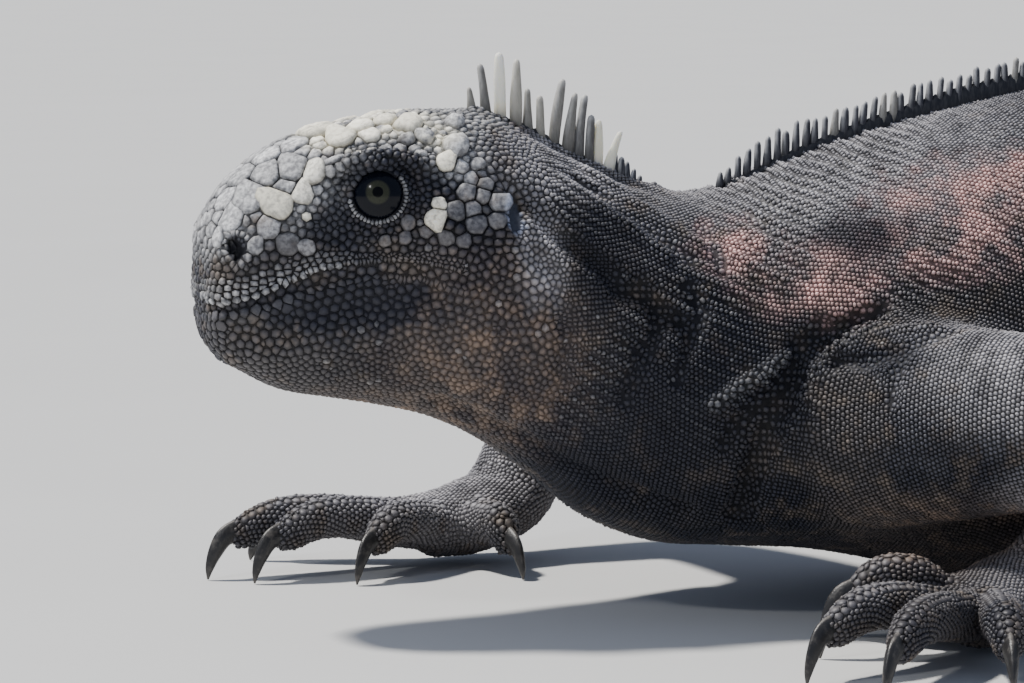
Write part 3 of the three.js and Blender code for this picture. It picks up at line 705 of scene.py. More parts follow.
def give(mesh, name, values):
    """Stores one number a point, for the materials."""
    layer = mesh.attributes.new(name, "FLOAT", "POINT")
    layer.data.foreach_set("value", np.asarray(values, np.float32))


def place_piece(name, mesh, material, replaced=()):
    """Puts a mesh in the scene, on the body that it rides and in place of its solids."""
    piece = bpy.data.objects.new(name, mesh)
    bpy.context.scene.collection.objects.link(piece)
    mesh.materials.append(material)
    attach(piece, "root")
    if replaced:
        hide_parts(*replaced)
    return piece


# ---- scales ----
HEAD_BACK_X = -164.0
HANDS_UNDER = 27.0  # all of the head is higher than this, and all of the hands are lower
# Where head scales have their own size: centre on the left side, half sizes, spacing
HEAD_SCALES = [
    ([-224, 6, 102], [15, 14, 10], 4),
    ([-234, 4, 92], [6, 10, 8], 3.4),
    ([-198, 4, 112], [16, 10, 7], 2.9),
    ([-181, 24, 94], [7.5, 8, 6.5], 3.3),
    ([-178, 6, 115], [9, 14, 8], 1.8),
    ([-168, 16, 106], [9, 14, 9], 1.25),
    ([-164, 26, 86], [7, 9, 11], 1.1),
    ([-200.7, 20, 96.4], [11, 10, 8.5], 1.05),
    ([-212, 18, 91.5], [5.5, 5, 5], 1.35),
    ([-206, 21, 86.5], [16, 6, 4], 1.7),
    ([-189, 25, 85], [9, 6, 3.5], 1.9),
    ([-171, 27, 92], [5, 8, 9], 1.2),
    ([-210, 20, 74], [24, 9, 6], 2),
    ([-200, 12, 54], [30, 25, 10], 1.3),
    ([-232, 8, 66], [9, 14, 8], 2),
    ([-235, 5, 80], [5, 12, 6], 1.8),
    ([-188, 22, 57], [16, 18, 12], 1.45),
    ([-177, 28, 68], [13, 12, 12], 1.7),
    ([-168, 20, 48], [16, 30, 16], 1.3),
]
LIP_LENS = np.array([[-208, 20, 73.5],
                     [26, 10, 7]])  # the smooth dark field of the lower lip: middle, half sizes
# Large plates of the left side: x, y outwards, z, radius, height, paleness, sharpness
PLATES = [
    (-223.2, 15.1, 95, 3.5, 1.3, 1, 0.1), (-217.6, 16.1, 97.3, 2.3, 1.1, 0.85, 0.1),
    (-214.7, 14.5, 101.9, 3, 1.4, 0.85, 0.1), (-219.1, 11.6, 103.1, 3.7, 1, 0.6, 0),
    (-223.9, 9.5, 101.8, 3.4, 0.9, 0.55, 0), (-228.6, 11.2, 96.4, 3.9, 0.8, 0.6, 0),
    (-232.5, 10.6, 91.7, 3, 0.7, 0.55, 0), (-235.1, 10, 87.3, 1.8, 0.7, 0.45, 0),
    (-228.3, 3.1, 100.8, 3.6, 0.8, 0.55, 0), (-222.5, 3.5, 105.2, 3.6, 0.9, 0.6, 0),
    (-217.1, 5.4, 108, 3.4, 1, 0.65, 0), (-232.4, 5, 95.8, 3.2, 0.7, 0.55, 0),
    (-225.4, 15.9, 90.6, 2.7, 0.7, 0.3, 0), (-221.5, 17.8, 86.7, 2.7, 0.7, 0.1, 0.1),
    (-217.6, 18.9, 85.9, 1.9, 0.8, 0.3, 0.2), (-228.5, 15.6, 86.3, 1.9, 0.7, 0.35, 0),
    (-217.5, 17.7, 92.7, 1.2, 0.9, 0.9, 0.4), (-209.9, 15.6, 103.8, 2.2, 1, 0.45, 0.1),
    (-205.4, 15.2, 106.3, 1.6, 1.2, 0.85, 0.2), (-202.2, 15.4, 107.1, 1.5, 1.2, 0.8, 0.2),
    (-198.9, 15.6, 107.5, 1.5, 1.2, 0.7, 0.2), (-195.9, 16, 107.2, 1.5, 1.2, 0.4, 0.2),
    (-210.6, 2.3, 110, 4.2, 1.7, 1, 0), (-207.4, 9.4, 108.9, 3.3, 1.5, 1, 0),
    (-192.1, 9.7, 111.7, 3.4, 2, 1, 0.3), (-196.3, 6, 112.6, 2.8, 1.5, 0.95, 0.3),
    (-202.1, 6.5, 111.4, 2.9, 1.4, 0.95, 0.1), (-201, 11.4, 109.6, 2.2, 1.3, 0.9, 0.1),
    (-183.4, 17.1, 107.5, 3.1, 2.7, 0.45, 0.5), (-181.8, 10.7, 112.2, 2.3, 2.2, 0.45, 0.6),
    (-186.5, 19.6, 103.8, 2.3, 1.5, 1, 0), (-191.9, 18.3, 104.7, 1.5, 1.1, 0.7, 0.1),
    (-193.9, 14.5, 108.6, 1.8, 1.7, 0.2, 0.1), (-192.6, 17, 107, 1.3, 1.2, 0.7, 0.1),
    (-189.6, 14.5, 109.3, 2.1, 1.7, 0.35, 0.3), (-189.5, 23.5, 95.3, 1.3, 1.2, 0.9, 0),
    (-190.6, 24.2, 92, 2.4, 1.3, 1, 0), (-183, 23.9, 97.6, 2.1, 1.2, 0.25, 0.1),
    (-185.8, 24.8, 93.7, 2.2, 1.1, 0.17, 0.1), (-178.5, 23.4, 99.3, 1.6, 1, 0.23, 0.1),
    (-179.6, 24.6, 96.7, 1.8, 1.1, 0.25, 0.1), (-176.6, 25.4, 95.3, 2, 1, 0.23, 0),
    (-182.2, 25.4, 94, 1.9, 1, 0.2, 0), (-181.5, 26.3, 90.7, 2.3, 0.9, 0.15, 0),
    (-177.2, 26.8, 91.3, 1.9, 0.8, 0.15, 0), (-183.4, 20.8, 103, 1.6, 1, 0.35, 0.1),
    (-179.5, 20.6, 103.6, 1.6, 1, 0.35, 0.1), (-181.6, 22.6, 100.6, 1.6, 0.9, 0.17, 0.1),
    (-188.3, 25.7, 87.6, 1.8, 0.9, 0.15, 0.1), (-184.6, 26.5, 87.4, 1.6, 0.8, 0.12, 0.1),
    (-192.6, 24.3, 89.1, 1.4, 0.8, 0.12, 0.1), (-195.8, 23.3, 90.7, 1.7, 0.8, 0.12, 0.1),
    (-196.9, 23.3, 88, 1.5, 0.7, 0.07, 0.1), (-201.1, 22.4, 87.2, 1.4, 0.7, 0.15, 0.1),
]


def head_spacing(p):
    """Spacing of the head's scales at points."""
    q = mirrored(p)
    size = np.full(len(q), 1.9)
    for centre, radii, own in HEAD_SCALES:
        share = np.exp(-(((((q - centre) / radii) ** 2).sum(1)) ** 1.5))
        size = size * (1 - share) + own * share
    return size


def section_points(runs, around, outline):
    """Places at runs along an outline that starts at its top, on both sides of it."""
    length = runs_of(outline)
    runs = runs[runs < length[-1] - 0.3 * around]
    return rows_at(runs, length, outline), runs / length[-1]


# Columns of a table of scales, after the place and the lie of each
RADIUS, HEIGHT, PALE, SHARP, PART, U, V = range(6, 13)
# Kinds of part: the head, the trunk, the tail, and from FIRST_LEG on the lengths of the four legs
HEAD, TRUNK_PART, TAIL_PART, FIRST_LEG = -1, 0, 1, 2
BACKWARDS = (1.0, 0, 0)
LEG_LENGTHS = 8  # upper, lower, palm and five digits


def leg_part(number, index):
    """Number of a length of a leg."""
    return FIRST_LEG + number * LEG_LENGTHS + index


class Seeds:
    """Roots of the scales: place, lie, radius, height, paleness, sharpness, part, place on the unwrap."""

    def __init__(self):
        self.rows = []

    def add(self, place, radius, height, pale, sharp, part, u, v):
        count = len(place)
        spread = [np.broadcast_to(np.asarray(a, float), (count,))[:, None]
                  for a in (radius, height, pale, sharp, part, u, v)]
        self.rows.append(np.hstack([place, np.broadcast_to(BACKWARDS, (count, 3)), *spread]))

    def table(self):
        return np.vstack(self.rows)


def trunk_outline(x):
    """The right half of the trunk's section at x, from the top down."""
    angle = np.linspace(0, math.pi, 241)
    row = [float(np.interp(x, TRUNK_KEYS, column)) for column in TRUNK_FINE]
    top, bottom, half, share, above, below = row
    widest = bottom + (top - bottom) * share
    s, c = np.sin(angle), np.cos(angle)
    power = 2 / np.where(c > 0, above, below)
    y = half * s**power
    z = widest + np.where(c > 0, top - widest, bottom - widest) * np.abs(c) ** power
    return np.column_stack([np.full(len(angle), x), y, z])


def add_rows(seeds, outline_at, spans, spacing_at, part, height, sharp, random, u_range=(0, 1)):
    """Staggered rows of scales round a part, from outlines of its sections."""
    start, end = spans
    at, odd = start, 0
    while at < end:
        spacing = spacing_at(at)
        for outline, side in outline_at(at):
            runs = (np.arange(0, 400) + 0.5 * (odd % 2)) * spacing
            if side < 0:
                runs = runs[runs > 0]
            places, share = section_points(runs, spacing, outline)
            places = places + random.normal(0, 0.07 * spacing, places.shape)
            u = u_range[0] + (u_range[1] - u_range[0]) * (at - start) / (end - start)
            tall = height * spacing * random.uniform(0.7, 1.25, len(places))
            size = 0.5 * spacing * random.uniform(0.88, 1.1, len(places))
            seeds.add(places, size, tall, 0.0, sharp, part, u, 0.5 + 0.48 * side * share)
        at += 0.866 * spacing
        odd += 1


def trunk_seeds(seeds, random):
    """Rows of scales round the trunk, finest on the left side of the neck, shoulder and back."""
    keys = [-165, -140, -110, -70, -20, 15, 60, 152]
    for side, wider in ((-1, 1.0), (1, 1.4)):
        table = [1.12, 1.1, 1.08, 1.06, 1.15, 1.8, 2.2, 2.6]
        table = [min(wider * own, max(own, 1.9)) for own in table]
        add_rows(seeds, lambda x, side=side: [(trunk_outline(x) * [1, side, 1], side)],
                 (HEAD_BACK_X, TAIL_START_X),
                 lambda x, table=table: float(np.interp(x, keys, table)), TRUNK_PART, 0.42, 0.7, random)


def tail_seeds(seeds, random):
    """Rings of scales round the tail, finer towards its tip."""
    angle = np.linspace(0, math.pi, 121)

    def outlines(share):
        centre, way, height, half = (a[0] for a in tail_frame(np.array([share])))
        side = np.array([-way[1], way[0], 0])
        up = np.cos(angle)
        wide = half * np.sin(angle) * (1 - 0.35 * np.clip(up, 0, 1))
        z = -1 + (height + 1) * (0.5 + 0.5 * up)
        both = []
        for sign in (1, -1):
            line = centre + side * (sign * wide)[:, None]
            line[:, 2] = z
            both.append((line, sign))
        return both

    share, odd = 0.0, 0
    while share < 0.995:
        spacing = 2.7 - 1.0 * share
        for outline, side in outlines(share):
            runs = (np.arange(0, 200) + 0.5 * (odd % 2)) * spacing
            runs = runs[runs > 0] if side < 0 else runs
            places, part_share = section_points(runs, spacing, outline)
            places = places + random.normal(0, 0.05 * spacing, places.shape)
            seeds.add(places, 0.5 * spacing, 0.28 * spacing, 0.0, 0.7, TAIL_PART, share,
                      0.5 + 0.48 * side * part_share)
        share += 0.95 * spacing / TAIL_LENGTH
        odd += 1


def limb_seeds(seeds, random):
    """Rows of scales round the legs, palms and digits."""
    angle = np.linspace(0, math.pi, 91)
    for number, leg in enumerate(LEG_PARTS):
        for index, part in enumerate(leg.lengths):
            def outlines(run, part=part):
                centre, _, side, rise, across, deep = (a[0] for a in part.at(np.array([run])))
                return [(centre + side * (sign * across * np.sin(angle))[:, None] + rise
                         * (deep * np.cos(angle))[:, None], sign)
                        for sign in (1, -1)]

            fore = leg.name.startswith("hand")
            spacing = LIMB_SPACING[leg.name if fore else "foot"][min(index, 3)]
            share = index / LEG_LENGTHS
            add_rows(seeds, outlines, (0.4, part.run[-1]), lambda run, s=spacing: s, leg_part(number, index),
                     0.42, 0.25,
                     random, (share + 0.002, share + 0.12))
            if index > 2:
                knuckle_seeds(seeds, part, leg_part(number, index), share)


KNUCKLE_ROWS = ((0, 1.2), (0.62, 1.05), (-0.62, 1.05))  # turn from the top, radius


def knuckle_seeds(seeds, part, kind, share):
    """Larger scales along the top of a digit."""
    for row, (turn, radius) in enumerate(KNUCKLE_ROWS):
        runs = np.arange(0.34 * part.run[-1] + (row > 0) * radius, part.run[-1] - 2.5, 1.95 * radius)
        centre, _, side, rise, across, deep = part.at(runs)
        places = centre + side * (across * math.sin(turn))[:, None] + rise * (deep * math.cos(turn))[:, None]
        seeds.add(places, radius, 0.28, 0.0, 0.2, kind, share + 0.06, 0.5)


# Spacing of the scales on the upper arm, forearm, palm and digits
LIMB_SPACING = {"hand_left": (1.08, 1.08, 1.15, 1.25), "hand_right": (1.5, 1.15, 1.2, 1.3),
                "foot": (1.9, 1.9, 1.9, 2.0)}


# Rows of scales along the lips: height over the line of the mouth, spacing, radius, height, paleness (partly the
# scales' own, partly a painted highlight on the upper lip)
LIP_ROWS = [
    (1.2, 2.3, 1, 0.75, 1), (2.8, 2.1, 0.9, 0.65, 0.75), (4.3, 2, 0.85, 0.6, 0.5), (5.7, 1.9, 0.8, 0.5, 0.3),
    (-1.7, 2.6, 1.2, 0.4, 0.1), (-4, 2.7, 1.3, 0.3, 0),
]


def lip_seeds(seeds, random):
    """Rows of scales along both lips, smaller towards the corners of the mouth."""
    line = np.array(MOUTH)
    run = runs_of(line)
    for number, (off, spacing, radius, height, pale) in enumerate(LIP_ROWS):
        at, runs = 1.0 + 0.5 * spacing * (number % 2), []
        while at < run[-1] + 1.5:
            runs.append(at)
            at += spacing * np.interp(at, [25, 50], [1, 0.62])
        small = np.interp(runs, [25, 50], [1, 0.68])
        at = rows_at(runs, run, line)
        at[:, 2] += off * small
        at[:, 1] += 0.4
        # Paler towards the snout, partly as a painted highlight on the front of the upper lip
        fade = np.clip((-204 - at[:, 0]) / 12, 0.1, 1)
        for side in (1, -1):
            both = at * [1, side, 1] + random.normal(0, 0.16, at.shape)
            own = 0.64 * np.clip(pale * fade * random.uniform(0.6, 1.2, len(at)), 0, 1)
            seeds.add(both, radius * small * random.uniform(0.9, 1.1, len(at)), height * small,
                      own, 0.2, HEAD, 0, 0)


def ring_seeds(seeds):
    """Beads along the edges of the lids and the nostrils."""
    for turn in np.radians(np.arange(-165, 40, 8.0)):
        spot = (EYE_BACK * (LID_OPENING[0] * LID_EDGE * math.cos(turn))
                + EYE_UP * (LID_OPENING[1] * LID_EDGE * math.sin(turn) - LID_DROP))
        add_both(seeds, EYE_CENTRE + spot + EYE_OUT * 4.8, 0.44, 0.4, 0.45)
    for turn in np.radians(np.arange(0, 360, 30.0)):
        spot = NOSTRIL + np.array([2.7 * math.cos(turn), 0.3, 4.0 * math.sin(turn)])
        add_both(seeds, spot, 0.8, 0.35, 0.12)


def add_both(seeds, spot, radius, height, pale, sharp=0.1, wobble=(0, 0, 0)):
    """One seed on each side of the head."""
    for side in (1, -1):
        place = (spot + np.asarray(wobble) * (side > 0)) * [1, side, 1]
        seeds.add(place[None], radius, height, pale, sharp, HEAD, 0, 0)


def bare_places(p):
    """Places of the head that carry no scales: the mouth's line, the eyes, the nostrils and the ears."""
    q = mirrored(p)
    eye = np.hypot((q - EYE_CENTRE) @ EYE_BACK / LID_OPENING[0],
                   ((q - EYE_CENTRE) @ EYE_UP + LID_DROP) / LID_OPENING[1])
    eye_near = (eye < LID_EDGE - 0.06) & (np.abs(q - EYE_CENTRE).max(1) < 9)
    nostril = (nostril_share(q - NOSTRIL) < 1.35) & (np.abs(q - NOSTRIL).max(1) < 5)
    ear = np.hypot((q - EAR)[:, 0] / 1.9, (q - EAR)[:, 2] / 5) < 1
    return (near_line(q, MOUTH) < 0.55) | eye_near | nostril | (ear & (np.abs(q - EAR).max(1) < 7))


def tree_of(places):
    """A search tree of places."""
    tree = kdtree.KDTree(len(places))
    for i, p in enumerate(places):
        tree.insert(p, i)
    tree.balance()
    return tree


def spaced(places, radii, fixed, share):
    """Which seeds stay when those nearer than share of their radii together go. Fixed ones win."""
    order = np.concatenate([np.flatnonzero(fixed), np.flatnonzero(~fixed)])
    tree = tree_of(places)
    keep = np.ones(len(places), bool)
    reach = radii.max() * 0.5
    for i in order:
        if not keep[i]:
            continue
        r = radii[i]
        for _, j, far in tree.find_range(places[i], (r + max(r, reach)) * share):
            if j != i and keep[j] and far < (r + radii[j]) * share and not (fixed[j] and fixed[i]):
                keep[j] = False
    return keep


def head_seeds(seeds, random):
    """Plates, lips and lids first, then scattered scales between them."""
    own = Seeds()
    for x, y, z, radius, height, pale, sharp in PLATES:
        add_both(own, np.array([x, y, z]), radius, height, pale, sharp, random.normal(0, 0.4, 3))
    lip_seeds(own, random)
    ring_seeds(own)
    fixed = own.table()
    points, faces, _ = hide_shape()
    quads = np.array([f[:4] for f in faces if len(f) == 4])
    middle = points[quads].mean(1)
    quads = quads[(middle[:, 0] < HEAD_BACK_X + 1) & (middle[:, 2] > HANDS_UNDER)]
    picked = quads[random.integers(0, len(quads), 60000)]
    a, b = random.random((2, len(picked), 1))
    corner = points[picked]
    near_edge = corner[:, 0] * (1 - a) + corner[:, 1] * a
    far_edge = corner[:, 3] * (1 - a) + corner[:, 2] * a
    spots = near_edge * (1 - b) + far_edge * b
    size = head_spacing(spots)
    fine = ~bare_places(spots)
    spots, size = spots[fine], size[fine]
    loose = Seeds()
    crown = ease((spots[:, 2] - 96) / 8) * ease((spots[:, 0] + 206) / 12)
    lip = np.exp(-((((mirrored(spots) - LIP_LENS[0]) / LIP_LENS[1]) ** 2).sum(1)))
    snout = ease((-208 - spots[:, 0]) / 10)
    tall = 0.34 * (1 - 0.5 * lip) * (1 - 0.35 * snout)
    loose.add(spots, 0.5 * size, tall * size, 0.0, 0.3 + 0.4 * crown - 0.25 * snout, HEAD, 0, 0)
    both = np.vstack([fixed, loose.table()])
    pinned = np.arange(len(both)) < len(fixed)
    both[:, :3], _ = settle(both[:, :3], 2)
    keep = spaced(both[:, :3], both[:, RADIUS], pinned, 0.82)
    both, pinned = both[keep], pinned[keep]
    both[:, :3] = relaxed(both[:, :3], both[:, RADIUS], pinned)
    angle = np.arctan2(both[:, 1], both[:, 2] - 80) / math.tau + 0.5
    both[:, U] = (both[:, 0] - SNOUT_X + 2) / (HEAD_BACK_X - SNOUT_X + 4)
    both[:, V] = angle
    seeds.rows.append(both)


def neighbours(places, count):
    """Indexes of each place's nearest others."""
    tree = tree_of(places)
    found = np.empty((len(places), count), np.int64)
    for i, p in enumerate(places):
        found[i] = [j for _, j, _ in tree.find_n(p, count + 1)][1:]
    return found


def relaxed(places, radii, pinned, rounds=4):
    """Pushes crowded scales apart."""
    for _ in range(rounds):
        near = neighbours(places, 8)
        off = places[:, None] - places[near]
        far = np.linalg.norm(off, axis=2)
        wanted = radii[:, None] + radii[near]
        push = (off / np.maximum(far, 1e-6)[..., None]
                * np.clip(wanted * 1.12 - far, -0.1, 1)[..., None]).sum(1) * 0.18
        places = np.where(pinned[:, None], places, places + push)
        places, _ = settle(places, 1)
    return places


@functools.lru_cache(maxsize=None)
def scale_roots():
    """All scales' roots on the hide, with the directions out of it."""
    random = np.random.default_rng(11)
    seeds = Seeds()
    head_seeds(seeds, random)
    trunk_seeds(seeds, random)
    tail_seeds(seeds, random)
    limb_seeds(seeds, random)
    table = seeds.table()
    place, part = table[:, :3], table[:, PART].astype(int)
    # A seed inside another part's flesh goes
    keep = np.ones(len(table), bool)
    trunk = np.where(place[:, 0] < TAIL_START_X + 10, trunk_distance(place), 60)
    tail = np.where(place[:, 0] > TAIL_START_X, tail_distance(place), 60)
    keep &= (part < FIRST_LEG) | ((trunk > -1.2) & (tail > -1.2))
    for number, leg in enumerate(LEG_PARTS):
        near = within(place, leg.low, leg.high)
        far = leg.distances(place[near])
        for index, row in enumerate(far):
            own = part[near] == leg_part(number, index)
            inside = (row < -1.2) & ~own
            keep[np.flatnonzero(near)[inside]] = False
    keep &= place[:, 2] > -1.0
    table = table[keep]
    table[:, :3], out = settle(table[:, :3], 3, most=4)
    good = (np.abs(flesh(table[:, :3])) < 0.3) & (table[:, 2] > 0.2)
    table, out = table[good], out[good]
    first = (table[:, PART] == HEAD) | ((table[:, PART] > 1) & (table[:, RADIUS] > 1.04))
    keep = spaced(table[:, :3], table[:, RADIUS], first, 0.66)
    table, out = table[keep], out[keep]
    for _ in range(2):
        table, out = filled(table, out)
    rope = ropes(table[:, :3], 2.4) * (table[:, PART] > HEAD)
    table[:, :3] += out * (0.28 * rope)[:, None]
    table[:, HEIGHT] *= 1 + 0.3 * rope
    # Painted light in the paleness: a highlight on the ropes' ridges, a few random glints up high, and the folds'
    # painted shade
    glint = (random.random(len(table)) < 0.015) * (table[:, 2] > 55) * 0.2
    table[:, PALE] = np.clip(table[:, PALE] + 0.16 * np.clip(rope, 0, 1) + glint + shade(table[:, :3]), -1, 1)
    return table, out


BARE_SHARE = 1.4  # a spot is bare this far from every root, against the roots' radii


def filled(table, out):
    """Adds scales where the hide between the roots would show."""
    points, _, ways = hide_shape()
    tree = tree_of(table[:, :3])
    chosen = np.flatnonzero(points[:, 2] > 0.5)
    chosen = chosen[~((points[chosen, 0] < FACE_BACK_X) & bare_places(points[chosen]))]
    found = [tree.find(points[i])[1:] for i in chosen]
    nearest, far = np.array([f[0] for f in found]), np.array([f[1] for f in found])
    radius = table[nearest, RADIUS]
    bare_spot = far > BARE_SHARE * radius
    for i in np.flatnonzero(bare_spot):
        bare_spot[i] = all(g > BARE_SHARE * table[j, RADIUS] for _, j, g in tree.find_n(points[chosen[i]], 5))
    rows = table[nearest[bare_spot]].copy()
    rows[:, :3] = points[chosen[bare_spot]]
    room = np.clip(far[bare_spot] - radius[bare_spot], 0.35, None)
    rows[:, HEIGHT] *= np.minimum(room / rows[:, RADIUS], 1) * 0.9
    rows[:, RADIUS] = np.minimum(rows[:, RADIUS], room)
    rows[:, PALE] *= 0.4
    keep = spaced(rows[:, :3], rows[:, RADIUS], np.zeros(len(rows), bool), 0.95)
    return np.vstack([table, rows[keep]]), np.vstack([out, ways[chosen[bare_spot]][keep]])


def lies_of(table, out):
    """The direction in which each scale points along the hide, backwards or down the limb."""
    lie = table[:, 3:6].copy()
    part = table[:, PART].astype(int)
    tail = part == TAIL_PART
    if tail.any():
        _, way, _, _ = tail_frame(tail_share(table[tail, :3]))
        lie[tail] = way
    for number, leg in enumerate(LEG_PARTS):
        for index, length in enumerate(leg.lengths):
            own = part == leg_part(number, index)
            if own.any():
                run = np.clip(length.nearest(table[own, :3]), 0, length.run[-1])
                lie[own] = length.at(run)[1]
    lie = lie - out * (lie * out).sum(1)[:, None]
    return unit(lie + 1e-6)


PATCH_RADIUS = 0.0015  # of a scale on the unwrap
FOOT_SINK = 0.3  # how deep a scale stands in the hide
# Rings of a scale over its foot: share of the cell, share of the height
RINGS = {"coarse": (), "fine": ((0.9, 0.62),), "plate": ((0.965, 0.5), (0.8, 0.88), (0.42, 1.0))}


def dome_mesh(name, table, out, lie, reach, kind):
    """Closed domes on roots, each in its cell."""
    place = table[:, :3]
    count, sides = reach.shape
    side = np.cross(out, lie)
    turns = (np.arange(sides) + 0.5) * math.tau / sides
    ray = lie[:, None] * np.cos(turns)[None, :, None] + side[:, None] * np.sin(turns)[None, :, None]
    height, sharp = table[:, HEIGHT], table[:, SHARP]
    random = np.random.default_rng(5)
    tone = random.random(count)
    size = reach.mean(1)
    lean = (0.12 + 0.45 * sharp) * size * 0.6
    blocks = [place[:, None] + ray * reach[..., None] - out[:, None] * FOOT_SINK]
    lifts, spans = [0.0] * sides, [1.0] * sides
    for share, rise in RINGS[kind]:
        narrow = share - 0.3 * sharp * rise
        rough = random.uniform(-0.09, 0.09, (count, sides)) * rise if kind == "plate" else 0.0
        up = height[:, None] * (rise - 0.22 * sharp[:, None] * (rise < 1) + rough)
        ring = place[:, None] + ray * (reach * narrow[:, None])[..., None] + out[:, None] * up[..., None]
        blocks.append(ring + lie[:, None] * (lean * rise)[:, None, None])
        lifts += [rise * 0.9] * sides
        spans += [share * 0.85] * sides
    blocks.append((place + out * height[:, None] + lie * lean[:, None])[:, None])
    points = np.concatenate(blocks, 1)
    points[..., 2] = np.maximum(points[..., 2], 0.02)
    lifts.append(1.0)
    spans.append(0.0)
    levels = len(RINGS[kind]) + 1
    template = tube_faces(sides, levels, 0)
    each = points.shape[1]
    one, face_sizes = flat(template)
    corners = (np.arange(count)[:, None] * each + np.array(one)).ravel()
    mesh = new_mesh(name, points.reshape(-1, 3), corners, np.tile(face_sizes, count))
    give(mesh, "lift", np.tile(lifts, count))
    give(mesh, "tone", np.repeat(tone, each))
    give(mesh, "pale", np.repeat(table[:, PALE], each))
    # Each scale's patch on the unwrap of the hide
    patch = PATCH_RADIUS * np.array(spans)
    angles = np.concatenate([np.tile(turns, levels), [0.0]])
    u = table[:, U][:, None] + patch * np.cos(angles)
    v = table[:, V][:, None] + patch * np.sin(angles)
    layer = mesh.uv_layers.new(name="OFBake")
    uv = np.stack([u.ravel(), v.ravel()], 1)[corners]
    layer.data.foreach_set("uv", uv.astype(np.float32).ravel())
    return mesh


SCALE_GAP = 0.04  # width of the gap between scales, on each side


def cells(table, out, lie, near, sides):
    """How far each scale reaches in each direction before it meets its neighbours."""
    place, radius = table[:, :3], table[:, RADIUS]
    off = place[near] - place[:, None]
    side = np.cross(out, lie)
    ahead, across = (off * lie[:, None]).sum(2), (off * side[:, None]).sum(2)
    square = (off**2).sum(2) + radius[:, None] ** 2 - radius[near] ** 2
    turns = (np.arange(sides) + 0.5) * math.tau / sides
    reach = np.empty((len(table), sides))
    length = np.linalg.norm(off, axis=2)
    for k, turn in enumerate(turns):
        toward = ahead * math.cos(turn) + across * math.sin(turn)
        limit = np.where(toward > 0.2 * length, square / (2 * np.maximum(toward, 1e-6)), 1e9)
        reach[:, k] = limit.min(1)
    return np.clip(reach - SCALE_GAP, 0.25 * radius[:, None], 1.75 * radius[:, None])


# ---- crest, claws and eyes ----
# Nape spines: x of the root, how far the tip stands ahead or behind, height, paleness
NAPE = [
    (-174.3, -0.7, 6, 0.3), (-171.2, -1.4, 12.1, 0.15), (-167.7, -0.3, 16, 1), (-164.2, 0.2, 16.2, 0.4),
    (-161.3, 0, 11, 0.25), (-158.4, -0.2, 11, 0.35), (-155.2, 2.2, 16.4, 0.2), (-152.1, 1.9, 15, 0.2),
    (-149.6, 1.9, 15.8, 0.1), (-147, 0.6, 12.4, 0.1), (-144.9, 0.4, 12.2, 1), (-142.6, 3.2, 10.6, 1),
    (-140.8, 0.2, 6.4, 0), (-139.4, 0.2, 6, 0), (-138, 0.3, 5.4, 0), (-136.6, 0.4, 4.2, 0), (-135, 0.4, 3, 0),
]
SPINE_SINK = 1.6
CREST_START_X = -116.0
CREST_SPACING = 2.35


def blade(root, way, height, length, width, lean, rings=9, sides=8, seed=0.0, blunt=0.3):
    """Points of one spine, its root sunk in the hide: rings from the root to the rounded tip, and the tip."""
    side = np.array([-way[1], way[0], 0.0])
    turns = np.arange(sides) * math.tau / sides
    points, lifts = [], []
    tip_start = 1 - 1.3 * length * blunt / height
    for i in range(rings):
        t = i / rings if i < rings - 2 else (tip_start, 1 - 0.35 * (1 - tip_start))[i - rings + 2]
        rounded = math.sqrt(1 - min(max((t - tip_start) / (1 - tip_start), 0), 1) ** 2 * 0.9)
        body = (1 - (1 - blunt) * t**1.8) * (1 + 0.1 * math.sin(5.5 * t + seed)) * rounded
        rise = -SPINE_SINK + (height + SPINE_SINK) * t
        bend = lean * (max(rise, 0) / height) ** 1.5
        centre = root + way * bend + np.array([0, 0, rise])
        ring = (centre + np.outer(np.cos(turns), way) * length * body
                + np.outer(np.sin(turns), side) * width * body)
        points.append(ring)
        lifts += [max(rise, 0) / height] * sides
    points.append((root + way * lean + np.array([0, 0, height]))[None])
    lifts.append(1.0)
    return np.vstack(points), lifts


def tube_faces(sides, rings, start, pointed=True):
    """Faces of a closed tube of rings, with a point at its end if pointed."""
    faces = [[start + k for k in range(sides - 1, -1, -1)]]
    for r in range(rings - 1):
        for k in range(sides):
            n = (k + 1) % sides
            low, high = start + r * sides, start + (r + 1) * sides
            faces.append([low + k, low + n, high + n, high + k])
    top = start + (rings - 1) * sides
    if pointed:
        faces += [[top + k, top + (k + 1) % sides, top + sides] for k in range(sides)]
    else:
        faces.append([top + k for k in range(sides)])
    return faces


def joined(name, parts, material, replaced=()):
    """One piece of many closed parts, each points, faces from nought, lift and pale."""
    points, corners, sizes, lifts, pales, start = [], [], [], [], [], 0
    for part_points, faces, lift, pale in parts:
        points.append(part_points)
        corners += [start + i for face in faces for i in face]
        sizes += [len(face) for face in faces]
        lifts += list(lift)
        pales += [pale] * len(part_points)
        start += len(part_points)
    mesh = new_mesh(name, np.vstack(points), corners, sizes)
    give(mesh, "lift", lifts)
    give(mesh, "pale", pales)
    random = np.random.default_rng(3)
    give(mesh, "tone", np.concatenate([np.full(len(p[0]), random.random()) for p in parts]))
    return place_piece(name, mesh, material, replaced)


def top_of(x):
    """Height of the hide on the back or nape."""
    return float(np.interp(x, TRUNK_KEYS, TRUNK_FINE[0])) - COAT_DEPTH


